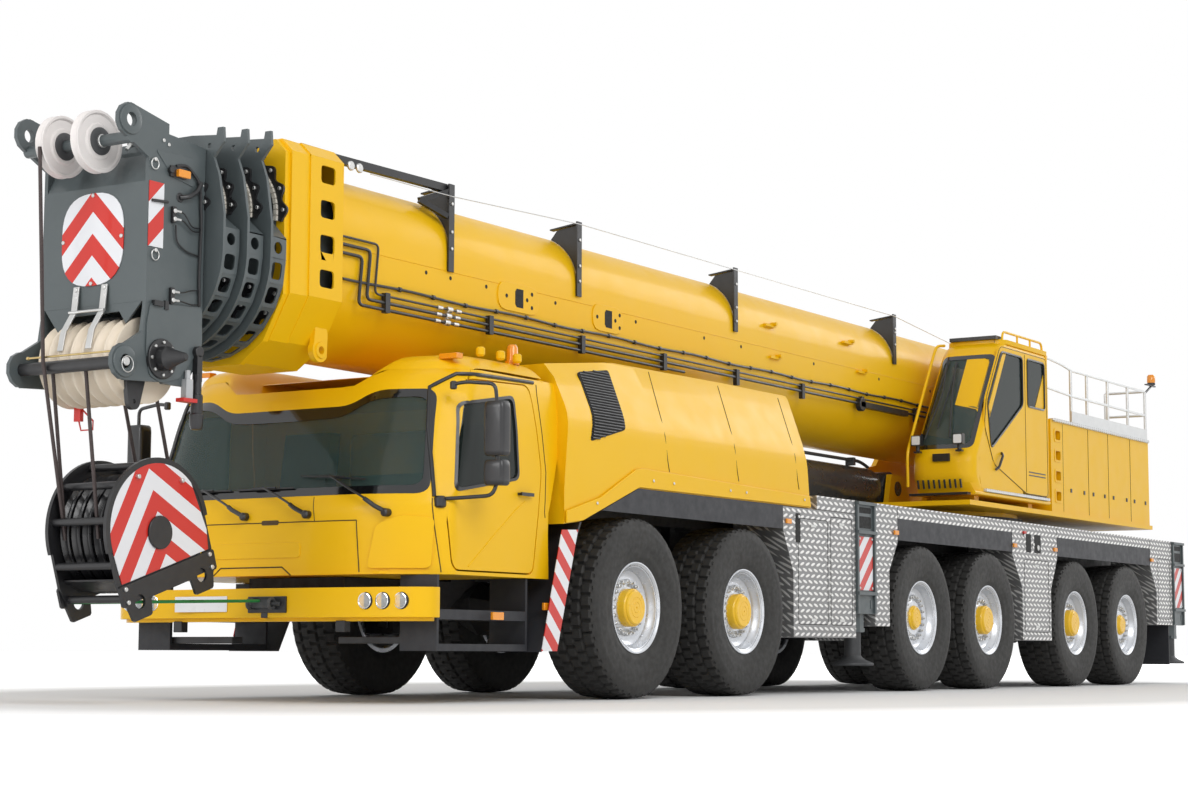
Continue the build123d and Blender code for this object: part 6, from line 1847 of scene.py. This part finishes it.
# ---- lockers, rails and the beacon ----
LOCKER_SIDE, RAIL_Y, RAIL_REAR = 1.45, 1.43, -8.04
lines, latches, frames = [], [], []
seam_y = LOCKER_SIDE + 0.0002
for x, radius in ((-5.95, 0.004), (-6.62, 0.004), (-7.39, 0.004), (-5.14, 0.003)):
    lines.append(bar([(x, seam_y, 2.97), (x, seam_y, 1.97)], radius, 6, side=ACROSS))
for x in (-5.38, -5.80, -6.10, -6.48, -6.78, -7.24, -7.52, -7.92):
    latches.append(block((x - 0.022, x + 0.022), (1.449, 1.458), (2.20, 2.245)))
for n in range(4):
    z = 2.08 + 0.23 * n
    hole = rectangle((-5.055, -4.905), (z + 0.004, z + 0.106), 0.03)
    frames.append(
        prism(rectangle((-5.085, -4.875), (z - 0.022, z + 0.132), 0.035), "xz", 1.449, 1.457, [hole])
    )
piece("locker_seams", "superstructure", GAP, lines)
piece("locker_latches", "superstructure", BLACK, latches, bevel=0.003)
piece("step_frames", "superstructure", YELLOW, frames, bevel=0.003)
tubes = []
posts = (RAIL_REAR, -7.40, -6.70, -6.00, -5.48)
RAIL_BOTTOM, RAIL_MIDDLE, RAIL_TOP = 3.00, 3.325, 3.622
for z in (RAIL_MIDDLE, RAIL_TOP):
    tubes.append(
        bar(
            eased([(posts[-1], RAIL_Y, z), (RAIL_REAR, RAIL_Y, z), (RAIL_REAR, 0.92, z)], 0.06), 0.016, 12,
            side=(0, 0, 1),
        )
    )
for x, y in (*[(x, RAIL_Y) for x in posts], (RAIL_REAR, 0.92)):
    tubes.append(bar([(x, y, RAIL_BOTTOM), (x, y, RAIL_TOP)], 0.018, 12))
tubes.append(
    bar(eased([(posts[-1], RAIL_Y, RAIL_TOP), (-5.20, RAIL_Y, 3.66), (-4.62, 1.42, 3.70)], 0.08), 0.014, 10)
)
tubes.append(bar([(posts[-1], RAIL_Y, RAIL_MIDDLE), (-4.62, 1.42, 3.36)], 0.014, 10))
tubes += [
    block((-8.055, -5.46), (1.435, 1.447), (3.0, 3.145)), block((-8.065, -8.053), (0.90, 1.44), (3.0, 3.145)),
]
feet = [disc((x, 1.43, 0), 0.035, 3.0, 3.012, "z", 14, 0.002) for x in posts]
piece(
    "rail_tubes", "superstructure", RAIL, tubes + feet, sharp=40, replaces=("walkway_rails",),
)
stand = [
    bar([(-8.04, 1.43, 3.60), (-8.30, 1.43, 3.72)], 0.014, 8),
    block((-8.42, -8.10), (1.41, 1.45), (3.715, 3.73)),
    disc((-8.30, 1.43, 0), 0.05, 3.73, 3.76, "z", 20, 0.004),
]
piece("beacon_stand", "superstructure", BLACK, stand, bevel=0.003)
beacon = [
    lathe(
        [(3.76, 0), (3.76, 0.05), (3.78, 0.052), (3.84, 0.05), (3.862, 0.036), (3.866, 0)], (-8.30, 1.43, 0),
        "z", 28,
    )
]
piece("rear_beacon", "superstructure", AMBER, beacon, sharp=50)

# ---- winch rope, lift cylinder and machinery behind the cab ----
across_drum = np.linspace(-0.50, 0.50, 401)
wound = [
    (-0.51, 0.20), *zip(across_drum, 0.262 + 0.013 * np.abs(np.sin(pi * across_drum / 0.026))), (0.51, 0.20),
]
piece("wound_rope", "winch_drum", ROPE, [lathe(wound, (-7.400, 0, 2.500), count=64)], sharp=60)
BARREL, ROD, STROKE_GAP = 0.22, 0.15, 0.004
rear, mouth = BARREL_EYE + 0.25, BARREL_EYE + 4.15
chamber = rear + 0.35
profile = [(rear, 0.0), (rear, BARREL - 0.02), (rear + 0.02, BARREL), (mouth - 0.26, BARREL)]
profile += [(mouth - 0.255, BARREL + 0.022), (mouth - 0.06, BARREL + 0.022), (mouth - 0.05, BARREL - 0.01)]
profile += [(mouth, BARREL - 0.02), (mouth, ROD + STROKE_GAP), (chamber, ROD + STROKE_GAP), (chamber, 0.0)]
line_of_cylinder, barrel_eye = (0, 0, CYLINDER_HEIGHT), (BARREL_EYE, 0, CYLINDER_HEIGHT)
eye_half, rod_half, neck = 0.20, 0.17, 0.15
barrel = [lathe(profile, line_of_cylinder, "x", 64)]
barrel.append(disc(barrel_eye, 0.19, -eye_half, eye_half, count=48, edge=0.008))
barrel.append(disc(barrel_eye, 0.08, -0.30, 0.30, count=32, edge=0.004))
neck_z = (CYLINDER_HEIGHT - neck, CYLINDER_HEIGHT + neck)
barrel.append(block((BARREL_EYE, rear + 0.01), (-eye_half + 0.02, eye_half - 0.02), neck_z))
barrel_node = ("lift_cylinder_barrel",)
piece(
    "cylinder_barrel", "lift_barrel", CYLINDER, barrel, sharp=30, replaces=barrel_node,
)
rod = [(chamber + 0.05, 0), (chamber + 0.05, ROD), (ROD_EYE - 0.10, ROD), (ROD_EYE - 0.05, 0)]
rod = [lathe(rod, line_of_cylinder, "x", 64)]
rod.append(disc((ROD_EYE, 0, CYLINDER_HEIGHT), 0.17, -rod_half, rod_half, count=48, edge=0.006))
piece("cylinder_rod", "lift_rod", CHROME, rod, sharp=30, replaces=("lift_cylinder_rod",))
top = CYLINDER_HEIGHT + BARREL
route = [(mouth - 0.15, 0.06), (mouth - 0.5, 0.05), (rear + 0.3, 0.05), (rear + 0.1, 0.0)]
pipes = [bar(eased([(x, 0.10, top + rise) for x, rise in route], 0.1), 0.018, 10, side=ACROSS)]
pipes += [block((mouth - 0.22, mouth - 0.10), (0.04, 0.16), (top, top + 0.09))]
pipes += [
    block((x, x + 0.05), (0.05, 0.15), (top - 0.01, top + 0.075)) for x in (rear + 0.5, (rear + mouth) / 2)
]
piece("cylinder_pipes", "lift_barrel", IRON, pipes, bevel=0.004)


# ---- studio ----
def seen_directly(tree):
    """One for rays seen by the camera, also in a reflection or through glass, zero for light that bounces."""
    path = tree.nodes.new("ShaderNodeLightPath")
    kinds = [path.outputs[f"Is {kind} Ray"] for kind in ("Camera", "Glossy", "Transmission")]
    return sums(tree, "MAXIMUM", sums(tree, "MAXIMUM", *kinds[:2]), kinds[2])


def studio():
    """A pale floor that fades to white, a white world, three soft lamps and a low camera in front."""
    reach, below = 400, -0.001
    corners = [(x * reach, y * reach, below) for x, y in ((-1, -1), (1, -1), (1, 1), (-1, 1))]
    mesh = bpy.data.meshes.new("floor")
    mesh.from_pydata(corners, [], [(0, 1, 2, 3)])
    floor = bpy.data.objects.new("floor", mesh)
    bpy.context.scene.collection.objects.link(floor)
    made, tree, shader, place = started("studio_floor")
    shader.inputs["Base Color"].default_value = (0.86, 0.86, 0.86, 1)
    shader.inputs["Roughness"].default_value = 0.75
    seen = seen_directly(tree)
    shorter = tree.nodes.new("ShaderNodeVectorMath")
    shorter.operation = "MULTIPLY"
    shorter.inputs[1].default_value = (0.55, 1.0, 0.0)
    tree.links.new(place, shorter.inputs[0])
    distance = tree.nodes.new("ShaderNodeVectorMath")
    distance.operation = "LENGTH"
    tree.links.new(shorter.outputs[0], distance.inputs[0])
    far = scaled(tree, distance.outputs["Value"], 0.0, 1.0, 5.0, 8.5)
    shader.inputs["Emission Color"].default_value = (1, 1, 1, 1)
    tree.links.new(sums(tree, "MULTIPLY", far, seen), shader.inputs["Emission Strength"])
    mesh.materials.append(made)
    floor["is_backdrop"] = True

    world = bpy.data.worlds.new("studio")
    bpy.context.scene.world = world
    world.use_nodes = True
    tree = world.node_tree
    back = tree.nodes["Background"]
    tree.links.new(scaled(tree, seen_directly(tree), 0.55, 1.0), back.inputs["Strength"])
    back.inputs["Color"].default_value = (1, 1, 1, 1)

    for name, place, target, size, power in (
        ("key", (16, 20, 16), (2, 0, 1.5), 14, 2600),
        ("front", (26, -4, 9), (4, 0, 1.5), 10, 1200),
        ("back", (-22, 10, 14), (-4, 0, 2), 12, 1100),
    ):
        lamp = bpy.data.lights.new(name, "AREA")
        lamp.shape, lamp.size, lamp.energy = "DISK", size, power
        made = bpy.data.objects.new(name, lamp)
        made.location = place
        made.rotation_euler = (Vector(target) - Vector(place)).to_track_quat("-Z", "Y").to_euler()
        bpy.context.scene.collection.objects.link(made)

    yaw, pitch, roll = radians(32.43), radians(6.28), radians(0.19)
    forward = Vector((-cos(yaw) * cos(pitch), -sin(yaw) * cos(pitch), sin(pitch)))
    across = forward.cross(Vector((0, 0, 1))).normalized()
    above = across.cross(forward)
    across, above = across * cos(roll) + above * sin(roll), above * cos(roll) - across * sin(roll)
    lens = bpy.data.cameras.new("camera")
    lens.lens, lens.sensor_width = 69.59, 36
    lens.clip_end = 500
    camera = bpy.data.objects.new("camera", lens)
    turn = Matrix((across, above, -forward)).transposed().to_4x4()
    camera.matrix_world = Matrix.Translation((19.70, 10.91, 0.3615)) @ turn
    bpy.context.scene.collection.objects.link(camera)
    bpy.context.scene.camera = camera
    bpy.context.scene.view_settings.view_transform = "Standard"


studio()

low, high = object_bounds()
